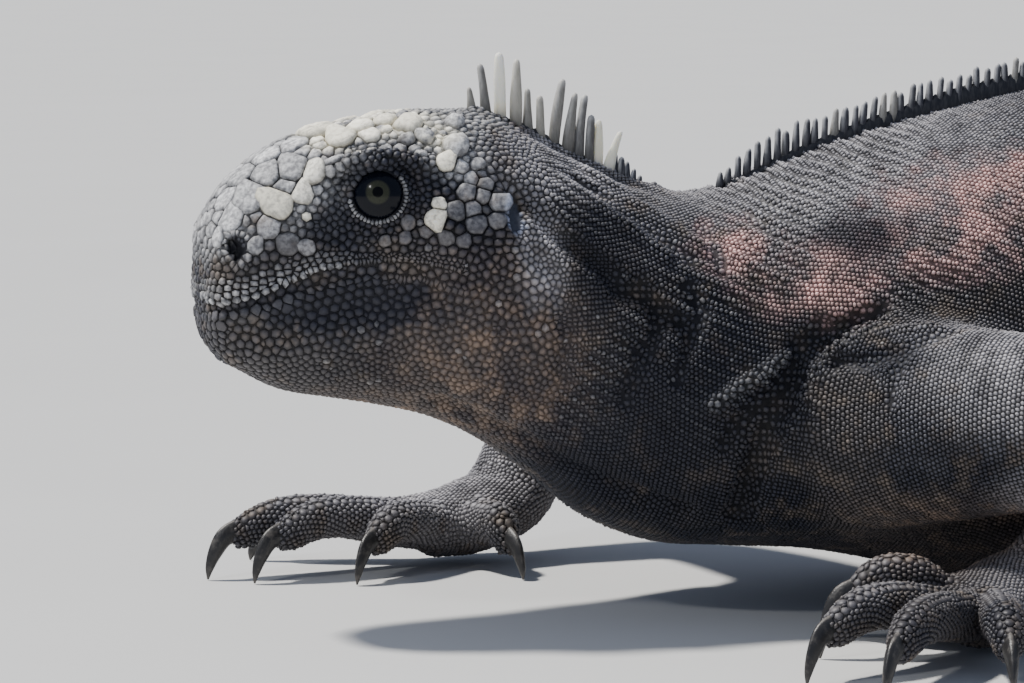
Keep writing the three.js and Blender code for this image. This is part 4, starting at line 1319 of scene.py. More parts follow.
def nape_parts():
    """The long spines of the nape, each from its own row, and the ridge under them."""
    ahead = np.array([1.0, 0, 0])
    parts = []
    for i, (x, lean, height, pale) in enumerate(NAPE):
        root = np.array([x, 0.25 * (-1) ** i, top_of(x)])
        half = 0.82 + 0.042 * height + 0.15 * (pale == 1.0)
        points, lifts = blade(root, ahead, height, half, 0.8 * half, lean, rings=12, sides=12, seed=1.7 * i,
                              blunt=0.55)
        parts.append((points, tube_faces(12, 12, 0), lifts, pale))
    xs = np.arange(-172, -132, 0.7)
    parts.append(band(xs, [np.array([x, 0, top_of(x)]) for x in xs], [ahead] * len(xs), 2.8))
    return parts


def back_parts(random):
    """The even comb of the back and the band under it."""
    ahead = np.array([1.0, 0, 0])
    parts = []
    for x in np.arange(CREST_START_X, TAIL_START_X, CREST_SPACING):
        grown = min((x - CREST_START_X) / 10, 1)
        height = (3.6 + 4.2 * grown) * (1 - 0.2 * max(x / TAIL_START_X, 0)) * random.uniform(0.86, 1.08)
        root = np.array([x + random.normal(0, 0.2), random.normal(0, 0.15), top_of(x)])
        points, lifts = blade(root, ahead, height, 1.12 * random.uniform(0.88, 1.1), 0.9,
                              0.06 * height + random.normal(0, 0.25),
                              seed=random.uniform(0, 6), blunt=0.62)
        parts.append((points, tube_faces(8, 9, 0), lifts, 0.0 if random.random() < 0.92 else 0.2))
    # The low band under the spines
    xs = np.arange(CREST_START_X + 2, TAIL_START_X + 1, 0.75)
    parts.append(band(xs, [np.array([x, 0, top_of(x)]) for x in xs], [ahead] * len(xs), 4.1))
    return parts


def band(keys, roots, ways, height):
    """A low ridge of scales that carries spines."""
    turns = np.arange(8) * math.tau / 8
    points, lifts = [], []
    for i, (root, way) in enumerate(zip(roots, ways)):
        side = np.array([-way[1], way[0], 0.0])
        ends = min(1, 4 * i / len(roots) + 0.15, 4 * (len(roots) - 1 - i) / len(roots) + 0.15)
        swell = 1 + 0.1 * math.sin(math.tau * keys[i] / CREST_SPACING)
        ring = (root + np.outer(np.cos(turns), [0, 0, 1.0]) * height * ends * swell
                + np.outer(-np.sin(turns), side) * 1.25 * swell)
        points.append(ring)
        # A low lift, so the band takes the painted shade of the spines' roots
        lifts += [0.12] * 8
    return np.vstack(points), tube_faces(8, len(roots), 0, pointed=False), lifts, 0.0


def tail_parts(random):
    """The comb of the tail, lower towards its tip."""
    parts, share = [], 0.004
    while share < 0.985:
        centre, way, tall, _ = (a[0] for a in tail_frame(np.array([share])))
        height = (0.8 + 5.6 * (1 - share) ** 1.2) * random.uniform(0.88, 1.1)
        root = np.array([centre[0], centre[1], tall - COAT_DEPTH])
        points, lifts = blade(root, way, height, 0.5 + 0.6 * (1 - share), 0.4 + 0.5 * (1 - share),
                              0.35 * height,
                              seed=random.uniform(0, 6), blunt=0.35)
        parts.append((points, tube_faces(8, 9, 0), lifts, 0.0))
        share += (2.6 + 1.6 * share) / TAIL_LENGTH
    shares = np.linspace(0.0, 0.97, 560)
    centre, way, tall, _ = tail_frame(shares)
    roots = np.column_stack([centre[:, :2], tall - COAT_DEPTH])
    parts.append(band(shares * TAIL_LENGTH, roots, way, 1.9))
    return parts


CLAW_LENGTH = 19.0


def claw_part(origin, heading, reach, arch):
    """A deep curved claw from the end of its digit down to the floor."""
    high = arch - 7.5
    rows = [
        [reach - 3.5, high + 1.0, 1.9, 3.1], [reach + 0.02 * CLAW_LENGTH, high + 0.8, 1.95, 3.15],
        [reach + 0.24 * CLAW_LENGTH, high - 0.4, 1.7, 2.65],
        [reach + 0.38 * CLAW_LENGTH, high * 0.62, 1.3, 2.0],
        [reach + 0.46 * CLAW_LENGTH, high * 0.24 + 0.3, 0.8, 1.15],
        [reach + 0.485 * CLAW_LENGTH, 0.25, 0.2, 0.25],
    ]
    line = Length([[d * math.cos(heading), d * math.sin(heading), z, a, b] for d, z, a, b in rows], 1, origin,
                  steps=60)
    rings, sides = 22, 14
    centre, _, side, rise, across, deep = line.at(line.run[-1] * np.linspace(0, 1, rings) ** 0.9)
    turns = np.arange(sides) * math.tau / sides
    up, wide = np.cos(turns), np.sin(turns)
    under = np.where(up < 0, 0.86, 1.0)
    keel = np.sign(wide) * np.abs(wide) ** 1.15 * np.where(up > 0, 1 - 0.25 * up, 1 + 0.1 * up)
    points = (centre[:, None] + side[:, None] * (across[:, None] * keel[None])[..., None]
              + rise[:, None] * (deep[:, None] * (up * under)[None])[..., None])
    points[..., 2] = np.maximum(points[..., 2], 0.03)
    lifts = np.repeat(np.linspace(0, 1, rings), sides)
    return points.reshape(-1, 3), tube_faces(sides, rings, 0, pointed=False), lifts, 0.0


def eyeball(mirror):
    """An eyeball that looks out between the lids, with the cornea standing proud."""
    rings, sides = 40, 64
    gaze = EYE_OUT * [1, mirror, 1]
    right = unit(np.cross([0, 0, 1.0], gaze))
    up = np.cross(gaze, right)
    centre = EYE_CENTRE * [1, mirror, 1]
    points = [centre + gaze * (EYE_RADIUS + 0.35)]
    for i in range(1, rings):
        bend = math.pi * (i / rings) ** 1.25
        radius = EYE_RADIUS + 0.35 * math.exp(-((bend / 0.5) ** 2))
        for turn in np.arange(sides) * math.tau / sides:
            ray = gaze * math.cos(bend) + (right * math.cos(turn) + up * math.sin(turn)) * math.sin(bend)
            points.append(centre + ray * radius)
    points.append(centre - gaze * EYE_RADIUS)
    faces = [[0, 1 + k, 1 + (k + 1) % sides] for k in range(sides)]
    for i in range(rings - 2):
        a, b = 1 + i * sides, 1 + (i + 1) * sides
        faces += [[a + k, b + k, b + (k + 1) % sides, a + (k + 1) % sides] for k in range(sides)]
    last = 1 + (rings - 2) * sides
    faces += [[last + (k + 1) % sides, last + k, len(points) - 1] for k in range(sides)]
    return np.array(points), faces


# ---- materials ----
class Graph:
    """Short calls for the nodes of a material or group."""

    def __init__(self, tree):
        self.tree = tree

    def node(self, kind, **settings):
        made = self.tree.nodes.new(kind)
        for key, value in settings.items():
            setattr(made, key, value)
        return made

    def feed(self, socket, value):
        if isinstance(value, bpy.types.NodeSocket):
            self.tree.links.new(value, socket)
        else:
            socket.default_value = value

    def math(self, action, a, b=0.0):
        made = self.node("ShaderNodeMath", operation=action)
        self.feed(made.inputs[0], a)
        self.feed(made.inputs[1], b)
        return made.outputs[0]

    def times(self, a, b):
        return self.math("MULTIPLY", a, b)

    def plus(self, a, b):
        return self.math("ADD", a, b)

    def minus(self, a, b):
        return self.math("SUBTRACT", a, b)

    def larger(self, a, b):
        return self.math("MAXIMUM", a, b)

    def vector(self, action, a, b=(0, 0, 0)):
        made = self.node("ShaderNodeVectorMath", operation=action)
        self.feed(made.inputs[0], a)
        if action == "SCALE":
            self.feed(made.inputs["Scale"], b)
        elif action not in ("ABSOLUTE", "LENGTH", "NORMALIZE"):
            self.feed(made.inputs[1], b)
        return made.outputs["Value" if action in ("LENGTH", "DOT_PRODUCT") else "Vector"]

    def blend(self, share, a, b, kind="MIX"):
        made = self.node("ShaderNodeMix", data_type="RGBA", blend_type=kind, clamp_factor=True)
        self.feed(made.inputs[0], share)
        self.feed(made.inputs[6], a)
        self.feed(made.inputs[7], b)
        return made.outputs[2]

    def noise(self, place, scale, detail, rough=0.5):
        made = self.node("ShaderNodeTexNoise")
        for key, value in (("Vector", place), ("Scale", scale), ("Detail", detail), ("Roughness", rough)):
            self.feed(made.inputs[key], value)
        return made.outputs["Fac"]

    def own_value(self, name):
        """A number stored with the mesh."""
        return self.node("ShaderNodeAttribute", attribute_name=name).outputs["Fac"]

    def place(self):
        """Place on the piece, in metres."""
        return self.node("ShaderNodeTexCoord").outputs["Object"]

    def place_mm(self):
        """Place on the piece, in millimetres."""
        return self.vector("SCALE", self.place(), 1 / MM)

    def roughen(self, skin, strength, distance, height):
        """Fine relief on the shader's normal."""
        bump = self.node("ShaderNodeBump")
        bump.inputs["Strength"].default_value = strength
        bump.inputs["Distance"].default_value = distance
        self.feed(bump.inputs["Height"], height)
        self.feed(skin["Normal"], bump.outputs[0])

    def span(self, value, low, high, to_low=0.0, to_high=1.0):
        made = self.node("ShaderNodeMapRange", interpolation_type="SMOOTHSTEP")
        for key, given in zip(("Value", "From Min", "From Max", "To Min", "To Max"),
                              (value, low, high, to_low, to_high)):
            self.feed(made.inputs[key], given)
        return made.outputs[0]

    def group(self, tree, **inputs):
        made = self.node("ShaderNodeGroup", node_tree=tree)
        for key, value in inputs.items():
            self.feed(made.inputs[key.replace("_", " ")], value)
        return made


def new_group(name, inputs, outputs):
    """A group of nodes with its graph, its given values and its results."""
    tree = bpy.data.node_groups.new(name, "ShaderNodeTree")
    for key, kind in inputs:
        tree.interface.new_socket(name=key, in_out="INPUT", socket_type="NodeSocket" + kind)
    for key, kind in outputs:
        tree.interface.new_socket(name=key, in_out="OUTPUT", socket_type="NodeSocket" + kind)
    graph = Graph(tree)
    return tree, graph, graph.node("NodeGroupInput").outputs, graph.node("NodeGroupOutput").inputs


@functools.lru_cache(maxsize=None)
def soft_spot():
    """A mask that is one inside an egg of the given half sizes, with a ragged edge."""
    tree, graph, given, out = new_group(
        "Soft spot",
        [("Place", "Vector"), ("Centre", "Vector"), ("Radii", "Vector"), ("Edge", "Float"),
         ("Ragged", "Float")],
        [("Mask", "Float")])
    far = graph.vector("LENGTH",
                       graph.vector("DIVIDE", graph.vector("SUBTRACT", given["Place"], given["Centre"]),
                                    given["Radii"]))
    far = graph.plus(far, given["Ragged"])
    graph.feed(out["Mask"], graph.span(far, graph.plus(1.0, given["Edge"]), graph.minus(1.0, given["Edge"])))
    return tree


SPOTS = {
    "salt": [([-221, 8, 101], [18, 20, 12], 0.35), ([-233, 4, 90], [8, 14, 8], 0.4),
             ([-193, 8, 113], [24, 14, 7], 0.35),
             ([-184, 20, 105], [7, 7, 5], 0.4)],
    "cream": [([-210, 8, 109], [6, 9, 3.5], 0.5), ([-198, 7, 113], [13, 9, 5], 0.5),
              ([-187, 15, 110], [5, 6, 4], 0.5)],
    "tan": [([-178, 24, 62], [22, 20, 22], 0.5), ([-190, 10, 46], [30, 26, 9], 0.5),
            ([-170, 22, 50], [12, 20, 18], 0.6),
            ([-93, 66, 25], [20, 28, 7], 0.5), ([-68, 62, 27], [26, 34, 8], 0.5),
            ([-84, 50, 14], [28, 24, 9], 0.5), ([-30, 50, 8], [60, 30, 14], 0.6)],
    "red": [([-121, 27, 84], [9, 14, 6], 0.6), ([-108, 36, 78], [14, 16, 8], 0.6),
            ([-76, 38, 86], [18, 16, 8], 0.6), ([-70, 36, 95], [20, 16, 9], 0.5),
            ([-58, 34, 97], [20, 16, 7], 0.6), ([-30, 48, 92], [26, 18, 10], 0.6),
            ([10, 50, 90], [28, 18, 13], 0.6),
            ([60, 48, 80], [30, 20, 12], 0.6)],
    # Pale grey bloom, and a painted sunlit highlight where the back, nape and the tops of the limbs face the
    # light
    "frost_and_sunlit_tops": [([-92, 14, 108], [48, 40, 30], 0.5), ([60, 12, 106], [90, 44, 34], 0.5),
              ([-72, 84, 64], [32, 30, 17], 0.5),
              ([-120, 90, 46], [26, 26, 26], 0.5), ([-70, 93, 24], [18, 18, 18], 0.5),
              ([90, 84, 46], [40, 40, 22], 0.5),
              ([-156, 12, 102], [20, 16, 11], 0.5), ([-165, 84, 18], [40, 26, 13], 0.5),
              ([-167, 26, 83], [6, 8, 11], 0.5)],
    # Smooth skin of the throat and the lower limbs: less painted shade at the scales' feet, a smaller painted
    # highlight at their tips
    "soft": [([-180, 22, 52], [36, 34, 26], 0.5), ([-60, 90, 2], [190, 70, 18], 0.4)],
    "ear": [([-172.4, 26.1, 93.1], [2.6, 6, 5.4], 0.2)],
    # Blue-black skin round the eyes, on the lores and in the lower lip's field, and painted shade: in the neck
    # and shoulder creases, under the chest and throat, in the nostrils and partly on the lower lip's field
    "dark": [([-200.7, 20, 96.4], [11, 12, 8.5], 0.35), ([-208, 20, 73.5], [25, 10, 6], 0.3),
             ([-152, 24, 84], [8, 12, 16], 0.5),
             ([-136, 30, 50], [18, 16, 26], 0.5), ([-212, 18, 90], [6, 5, 6], 0.4),
             ([-156, 18, 34], [12, 20, 14], 0.5),
             ([-114, 41, 55], [6, 7, 14], 0.5), ([-97, 54, 61.5], [9, 9, 3.5], 0.5),
             ([-96, 38, 87], [12, 12, 5], 0.5), tuple([[*NOSTRIL], [1.9, 5, 3.3], 0.2])],
}


@functools.lru_cache(maxsize=None)
def markings_and_painted_light():
    """The animal's colours by place with painted shade and highlights, shared by the hide, the scales and the
    crest.
    """
    tree, graph, given, out = new_group(
        "Iguana markings", [("Place", "Vector"), ("Lift", "Float"), ("Tone", "Float"), ("Pale", "Float")],
        [("Color", "Color"), ("Roughness", "Float"), ("Height", "Float")])
    paint = paints()
    place = graph.vector("SCALE", given["Place"], 1000.0)
    folded_place = graph.vector("ADD", graph.vector("MULTIPLY", place, (1, 0, 1)),
                                graph.vector("MULTIPLY", graph.vector("ABSOLUTE", place), (0, 1, 0)))
    broad = graph.noise(place, 0.035, 3.0, 0.6)
    middle = graph.noise(place, 0.16, 4.0, 0.62)
    fine = graph.noise(place, 0.9, 3.0, 0.6)
    ragged = graph.times(graph.minus(middle, 0.5), 1.6)

    def spots(kind):
        mask = None
        for centre, radii, edge in SPOTS[kind]:
            one = graph.group(soft_spot(), Place=folded_place, Centre=centre, Radii=radii, Edge=edge,
                              Ragged=ragged).outputs[0]
            mask = one if mask is None else graph.larger(mask, one)
        return mask

    colour = graph.blend(graph.span(broad, 0.4, 0.62), paint.charcoal, paint.blue_black)
    colour = graph.blend(graph.span(middle, 0.48, 0.72), colour, paint.brown_grey)
    tan = graph.times(spots("tan"), graph.span(middle, 0.42, 0.7, 0.15, 0.85))
    colour = graph.blend(tan, colour, paint.tan)
    # Pale grey bloom, partly a painted highlight on the parts that face the light
    frost_and_sunlit_tops = graph.times(spots("frost_and_sunlit_tops"), graph.span(middle, 0.3, 0.65, 0.3, 1.0))
    colour = graph.blend(graph.times(frost_and_sunlit_tops, 0.85), colour, paint.frost_and_sunlit_tops)
    red = graph.times(spots("red"), graph.span(graph.noise(place, 0.11, 3.0, 0.6), 0.36, 0.62, 0.1, 1.0))
    red = graph.times(red, graph.span(given["Tone"], 0.0, 0.5, 0.6, 1.0))
    colour = graph.blend(graph.times(red, 0.85), colour, paint.red)
    colour = graph.blend(graph.times(spots("ear"), 0.8), colour, paint.slate)
    salt = graph.times(spots("salt"), graph.span(middle, 0.3, 0.62, 0.35, 1.0))
    crust = graph.blend(graph.span(fine, 0.32, 0.66), paint.grey_crust, paint.salt)
    colour = graph.blend(graph.times(salt, 0.85), colour, crust)
    cream = graph.times(spots("cream"), graph.span(middle, 0.38, 0.56))
    colour = graph.blend(cream, colour, paint.cream)
    # Blue-black in these spots: partly the skin's own colour, partly painted shade
    colour = graph.blend(graph.times(spots("dark"), 0.85), colour, paint.blue_black)
    pale = graph.blend(graph.span(given["Pale"], 0.65, 1.0), crust, paint.cream)
    colour = graph.blend(graph.times(given["Pale"], graph.span(fine, 0.25, 0.6, 0.7, 1.0)), colour, pale)
    # Each scale has its own lightness, painted shade at its foot and a painted highlight at its tip
    dark = spots("dark")
    even = graph.minus(0.55, graph.times(graph.larger(dark, spots("soft")), 0.35))
    light = graph.plus(graph.times(graph.minus(given["Tone"], 0.5), even), 1.0)
    crusted = graph.larger(cream, graph.times(salt, 0.7))
    crusted = graph.larger(crusted, graph.times(given["Pale"], 0.7))
    soft = graph.times(spots("soft"), 0.34)
    # Painted shade at the foot, lighter where crust or smooth skin fills the gaps
    foot = graph.plus(0.3, graph.larger(graph.times(crusted, 0.45), soft))
    light = graph.times(light, graph.span(given["Lift"], 0.0, 0.8, foot, 1.0))
    # The painted highlight at the tip is smaller on crust, in the dark places and on smooth skin
    tip = graph.times(graph.larger(crusted, dark), 0.35)
    tip = graph.minus(1.45, graph.larger(tip, soft))
    light = graph.times(light, graph.span(given["Lift"], 0.55, 1.0, 1.0, tip))
    light = graph.times(light, graph.span(fine, 0.2, 0.8, 0.75, 1.25))
    # Paleness below nought darkens: the painted shade of the deep folds
    light = graph.times(light, graph.span(given["Pale"], -1.0, 0.0, 0.06, 1.0))
    out_colour = graph.vector("SCALE", colour, light)
    graph.feed(out["Color"], out_colour)
    dull = graph.times(crusted, 0.3)
    dull = graph.plus(dull, graph.times(dark, 0.15))
    graph.feed(out["Roughness"], graph.plus(graph.span(middle, 0.3, 0.7, 0.45, 0.62), dull))
    grit = graph.times(graph.noise(place, 3.0, 4.0, 0.65), graph.plus(1.0, crusted))
    graph.feed(out["Height"], graph.plus(graph.times(fine, 0.5), grit))
    return tree


def paints():
    """The colours that are set, as plain values."""
    group = bpy.context.scene.iguana_colours
    return SimpleNamespace(**{key: tuple(getattr(group, key)) for key in IguanaColours.__annotations__})


def new_material(name):
    """A material with its graph and its shader's sockets."""
    material = bpy.data.materials.new(name)
    material.use_nodes = True
    graph = Graph(material.node_tree)
    return material, graph, material.node_tree.nodes["Principled BSDF"].inputs


@functools.lru_cache(maxsize=None)
def hide_material(name, lifted):
    """Hide or scales. Lifted ones read how high in its scale a point is, for painted shade low down and a painted
    highlight at the tip.
    """
    material, graph, skin = new_material(name)
    place = graph.place()
    values = {"Place": place}
    for key in ("Lift", "Tone", "Pale") if lifted else ("Pale",):
        values[key] = graph.own_value(key.lower())
    if not lifted:
        # The bare hide is read as the foot of a scale, so it takes the painted shade between the scales
        values.update(Lift=0.05, Tone=0.3)
    marks = graph.group(markings_and_painted_light(), **values).outputs
    graph.feed(skin["Base Color"], marks["Color"])
    graph.feed(skin["Roughness"], marks["Roughness"])
    graph.roughen(skin, 0.35, 0.0002, marks["Height"])
    skin["Specular IOR Level"].default_value = 0.5 if lifted else 0.2
    return material


@functools.lru_cache(maxsize=None)
def spine_material():
    """Crest spines: painted shade at the root, a painted highlight on the faces turned to the front, and paler at
    the tip.
    """
    material, graph, skin = new_material("crest_spines")
    paint = paints()
    place = graph.place_mm()
    lift, pale, tone = (graph.own_value(key) for key in ("lift", "pale", "tone"))
    streak = graph.noise(graph.vector("MULTIPLY", place, (2.2, 2.2, 0.5)), 1.0, 4.0, 0.6)
    colour = graph.blend(graph.span(streak, 0.35, 0.7), paint.blue_black, paint.spine_grey)
    # Painted highlight: the faces turned to the front, where the light falls, blend towards the salt colour
    front = graph.vector("DOT_PRODUCT", graph.node("ShaderNodeNewGeometry").outputs["Normal"], (-1, 0, 0))
    lit_front = graph.times(graph.span(front, -0.1, 0.6), graph.span(lift, 0.25, 0.75, 0.1, 0.8))
    colour = graph.blend(graph.times(lit_front, graph.span(streak, 0.2, 0.6, 0.4, 0.9)), colour, paint.salt)
    colour = graph.blend(graph.span(lift, 0.84, 1.0, 0.0, 0.7), colour, paint.salt)
    colour = graph.blend(graph.times(pale, graph.span(streak, 0.2, 0.5, 0.85, 1.0)), colour, paint.cream)
    # Painted shade towards the roots
    light = graph.span(lift, 0.0, 0.35, 0.3, 1.0)
    colour = graph.vector("SCALE", colour, graph.times(light, graph.plus(graph.times(tone, 0.4), 0.8)))
    graph.feed(skin["Base Color"], colour)
    skin["Roughness"].default_value = 0.5
    graph.feed(skin["Subsurface Weight"], graph.times(pale, 0.6))
    skin["Subsurface Radius"].default_value = (1.0, 0.9, 0.7)
    skin["Subsurface Scale"].default_value = 0.002
    graph.roughen(skin, 0.5, 0.0002, streak)
    return material


@functools.lru_cache(maxsize=None)
def horn_material():
    """Claws: dark horn, paler in dusty patches and at the tip, a painted highlight broken by wear along the
    upward ridge, and fine growth lines.
    """
    material, graph, skin = new_material("claw_horn")
    paint = paints()
    place = graph.place_mm()
    lift = graph.own_value("lift")
    wear = graph.noise(place, 0.5, 4.0, 0.65)
    rings = graph.noise(graph.vector("MULTIPLY", place, (1.4, 1.4, 0.7)), 1.6, 3.0, 0.6)
    dusty = graph.times(graph.span(wear, 0.5, 0.75), 0.35)
    colour = graph.blend(dusty, paint.horn, paint.worn_horn)
    # Painted highlight on the faces turned up, broken by the wear noise
    up = graph.vector("DOT_PRODUCT", graph.node("ShaderNodeNewGeometry").outputs["Normal"], (0, 0, 1))
    ridge = graph.times(graph.span(up, 0.6, 0.95), graph.span(wear, 0.35, 0.6, 0.25, 0.75))
    colour = graph.blend(ridge, colour, paint.worn_horn)
    colour = graph.blend(graph.span(lift, 0.85, 1.0, 0.0, 0.35), colour, paint.worn_horn)
    graph.feed(skin["Base Color"], colour)
    graph.feed(skin["Roughness"], graph.span(wear, 0.3, 0.7, 0.3, 0.5))
    graph.roughen(skin, 0.35, 0.0003, rings)
    return material


@functools.lru_cache(maxsize=None)
def eye_material(mirror):
    """Wet eyeball: blue-black, with an olive iris flecked outwards from a small pupil."""
    material, graph, skin = new_material("eye_" + ("left" if mirror < 0 else "right"))
    paint = paints()
    gaze = EYE_OUT * [1, mirror, 1]
    place = graph.place_mm()
    ray = graph.vector("NORMALIZE", graph.vector("SUBTRACT", place, tuple(EYE_CENTRE * [1, mirror, 1])))
    bend = graph.math("ARCCOSINE", graph.vector("DOT_PRODUCT", ray, tuple(gaze)))
    flat = graph.vector("SUBTRACT", ray,
                        graph.vector("SCALE", tuple(gaze), graph.vector("DOT_PRODUCT", ray, tuple(gaze))))
    outwards = graph.vector("ADD", graph.vector("NORMALIZE", flat), graph.vector("SCALE", flat, 2.5))
    fleck = graph.noise(outwards, 11.0, 5.0, 0.7)
    colour = graph.blend(graph.span(fleck, 0.2, 0.85), paint.iris_dark, paint.iris)
    colour = graph.blend(graph.span(bend, 0.3, 0.4), colour, paint.eye_black)
    colour = graph.blend(graph.span(bend, 0.17, 0.145), colour, (0.001, 0.001, 0.001, 1))
    graph.feed(skin["Base Color"], colour)
    skin["Roughness"].default_value = 0.2
    skin["Specular IOR Level"].default_value = 0.1
    skin["Coat Weight"].default_value = 0.16
    skin["Coat Roughness"].default_value = 0.04
    return material


# ---- settings and operators ----
class IguanaSizes(bpy.types.PropertyGroup):
    """Sizes that a user would change."""

    fine_until: FloatProperty(name="Fine scales until",
                              description="Scales ahead of this place along the body get their full form",
                              default=-0.005, unit="LENGTH")
    scale_height: FloatProperty(name="Scale height",
                                description="Height of all scales against their usual height",
                                default=1.0, min=0.2, max=2.0, subtype="FACTOR")
    piece_size: IntProperty(name="Scales in a piece",
                            description="Most scales that one piece of the coat holds", default=7800)


def colour_property(name, description, default):
    """A colour that a user may change."""
    return FloatVectorProperty(name=name, description=description, size=4, min=0, max=1, subtype="COLOR",
                               default=(*default, 1))


class IguanaColours(bpy.types.PropertyGroup):
    """Colours of the hide, crest, claws and eyes."""

    charcoal: colour_property("Charcoal", "Main colour of the hide", (0.056, 0.051, 0.054))
    blue_black: colour_property("Blue-black", "Cooler, darker parts of the hide", (0.016, 0.018, 0.03))
    brown_grey: colour_property("Brown-grey", "Warm flecks in the hide", (0.125, 0.1, 0.082))
    tan: colour_property("Tan", "Jowl, throat and undersides", (0.27, 0.19, 0.14))
    red: colour_property("Red", "Patches on the shoulders and flanks", (0.86, 0.5, 0.45))
    # Pale grey bloom, partly a painted highlight on the parts that face the light
    frost_and_sunlit_tops: colour_property("Frost", "Pale grey bloom on the back and the tops of the limbs",
                           (0.44, 0.425, 0.445))
    slate: colour_property("Slate", "Bare drum of the ear", (0.22, 0.25, 0.34))
    # Also the painted highlight on the front faces of the crest spines
    salt: colour_property("Salt", "Pale crust on the plates of the snout and crown", (0.58, 0.58, 0.58))
    grey_crust: colour_property("Grey crust", "Thin crust between the pale flecks", (0.3, 0.3, 0.31))
    cream: colour_property("Cream", "Thickest crust and the palest plates", (0.97, 0.92, 0.76))
    spine_grey: colour_property("Spine grey", "Upper part of the crest spines", (0.075, 0.075, 0.085))
    horn: colour_property("Horn", "Claws", (0.022, 0.021, 0.021))
    # Paler horn for the tips and the dusty patches, and a painted highlight on the claws' ridges
    worn_horn: colour_property("Worn horn", "Ridges and tips of the claws", (0.2, 0.18, 0.16))
    iris: colour_property("Iris", "Light flecks of the iris", (0.05, 0.053, 0.034))
    iris_dark: colour_property("Dark iris", "Ground of the iris", (0.02, 0.022, 0.016))
    eye_black: colour_property("Eye black", "Eyeball round the iris", (0.003, 0.004, 0.008))


class IGUANA_OT_hide(bpy.types.Operator):
    """Makes the bare hide in one piece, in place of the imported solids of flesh"""

    bl_idname = "iguana.hide"
    bl_label = "Hide"

    def execute(self, context):
        points, faces, _ = hide_shape()
        mesh = new_mesh("hide", points, *flat(faces))
        # The hide's paleness is the folds' painted shade and the painted highlight on their lips
        give(mesh, "pale", shade(points))
        flesh_nodes = [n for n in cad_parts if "claw" not in n and not n.startswith("eye_")]
        place_piece("hide", mesh, hide_material("hide", False), flesh_nodes)
        return {"FINISHED"}


PLATE_RADIUS = 1.25  # scales of the head above it are plates


class IGUANA_OT_scales(bpy.types.Operator):
    """Covers the hide with closed scales, each in its own cell"""

    bl_idname = "iguana.scales"
    bl_label = "Scales"

    def execute(self, context):
        sizes = context.scene.iguana_sizes
        table, out = scale_roots()
        table[:, HEIGHT] *= sizes.scale_height
        lie = lies_of(table, out)
        material = hide_material("scales", True)
        large = (table[:, RADIUS] > PLATE_RADIUS) & (table[:, PART] == HEAD)
        fore = (table[:, PART] >= FIRST_LEG) & (table[:, PART] < leg_part(2, 0))
        seen = (table[:, 0] < sizes.fine_until / MM) & ((table[:, 1] < 2) | (table[:, PART] == HEAD) | fore)
        near = neighbours(table[:, :3], 12)
        groups = (("fine", seen & ~large, 6), ("coarse", ~seen & ~large, 6), ("plate", large, 18))
        for kind, group, sides in groups:
            outline = cells(table, out, lie, near, sides)
            chosen = np.flatnonzero(group)
            chosen = chosen[np.argsort(table[chosen, 0], kind="stable")]
            limit = 2 * sizes.piece_size if kind == "coarse" else sizes.piece_size
            for i, some in enumerate(np.array_split(chosen, max(1, math.ceil(len(chosen) / limit)))):
                name = f"scales_{kind}_{i + 1}" if kind != "plate" else f"plates_{i + 1}"
                mesh = dome_mesh(name, table[some], out[some], lie[some], outline[some], kind)
                place_piece(name, mesh, material)
        return {"FINISHED"}


class IGUANA_OT_crest(bpy.types.Operator):
    """Stands the spines of the nape, back and tail"""

    bl_idname = "iguana.crest"
    bl_label = "Crest"

    def execute(self, context):
        random = np.random.default_rng(21)
        joined("crest_nape", nape_parts(), spine_material())
        joined("crest_back", back_parts(random), spine_material())
        joined("crest_tail", tail_parts(random), spine_material())
        return {"FINISHED"}


class IGUANA_OT_claws(bpy.types.Operator):
    """Makes the twenty claws"""

    bl_idname = "iguana.claws"
    bl_label = "Claws"

    def execute(self, context):
        for leg in LEG_PARTS:
            for i, (heading, (_, reach, arch)) in enumerate(zip(leg.headings, leg.spread)):
                part = claw_part(leg.origin, heading, reach, arch)
                joined(f"{leg.name}_blade_{i + 1}", [part], horn_material(),
                       [f"{leg.name}_claw_{i + 1}"])
        return {"FINISHED"}


class IGUANA_OT_eyes(bpy.types.Operator):
    """Sets both eyeballs"""

    bl_idname = "iguana.eyes"
    bl_label = "Eyes"

    def execute(self, context):
        for side, mirror in (("left", -1), ("right", 1)):
            points, faces = eyeball(mirror)
            if mirror > 0:
                faces = [f[::-1] for f in faces]
            mesh = new_mesh("eyeball_" + side, points, *flat(faces))
            place_piece("eyeball_" + side, mesh, eye_material(mirror), ["eye_" + side])
        return {"FINISHED"}


# The camera: degrees round and above, aim and distance in metres, focal length in pixels, frame and sensor widths
CAMERA_TURN = -18.0
CAMERA_LIFT = 6.0
CAMERA_AIM = (-0.165, 0.0, 0.062)
CAMERA_DISTANCE = 1.0
CAMERA_FOCAL = 4471.0
FRAME_WIDTH = 1024
CAMERA_SENSOR = 36.0
# Half the floor's side in metres, the light's directions, strengths and sizes
FLOOR_HALF = 14.0
SKY = (0.6, 0.72, 1.0, 1)
SKY_STRENGTH = 0.38
SUN_WAY = (-0.36, 0.27, 0.88)
SUN_STRENGTH = 5.0
SUN_ANGLE = 0.1
SUN_COLOUR = (1.0, 0.97, 0.92)
EYE_LIGHT_WAY = (-0.66, -0.41, 0.625)
EYE_LIGHT_DISTANCE = 0.6
EYE_LIGHT_POWER = 0.8
EYE_LIGHT_SIZE = 0.06


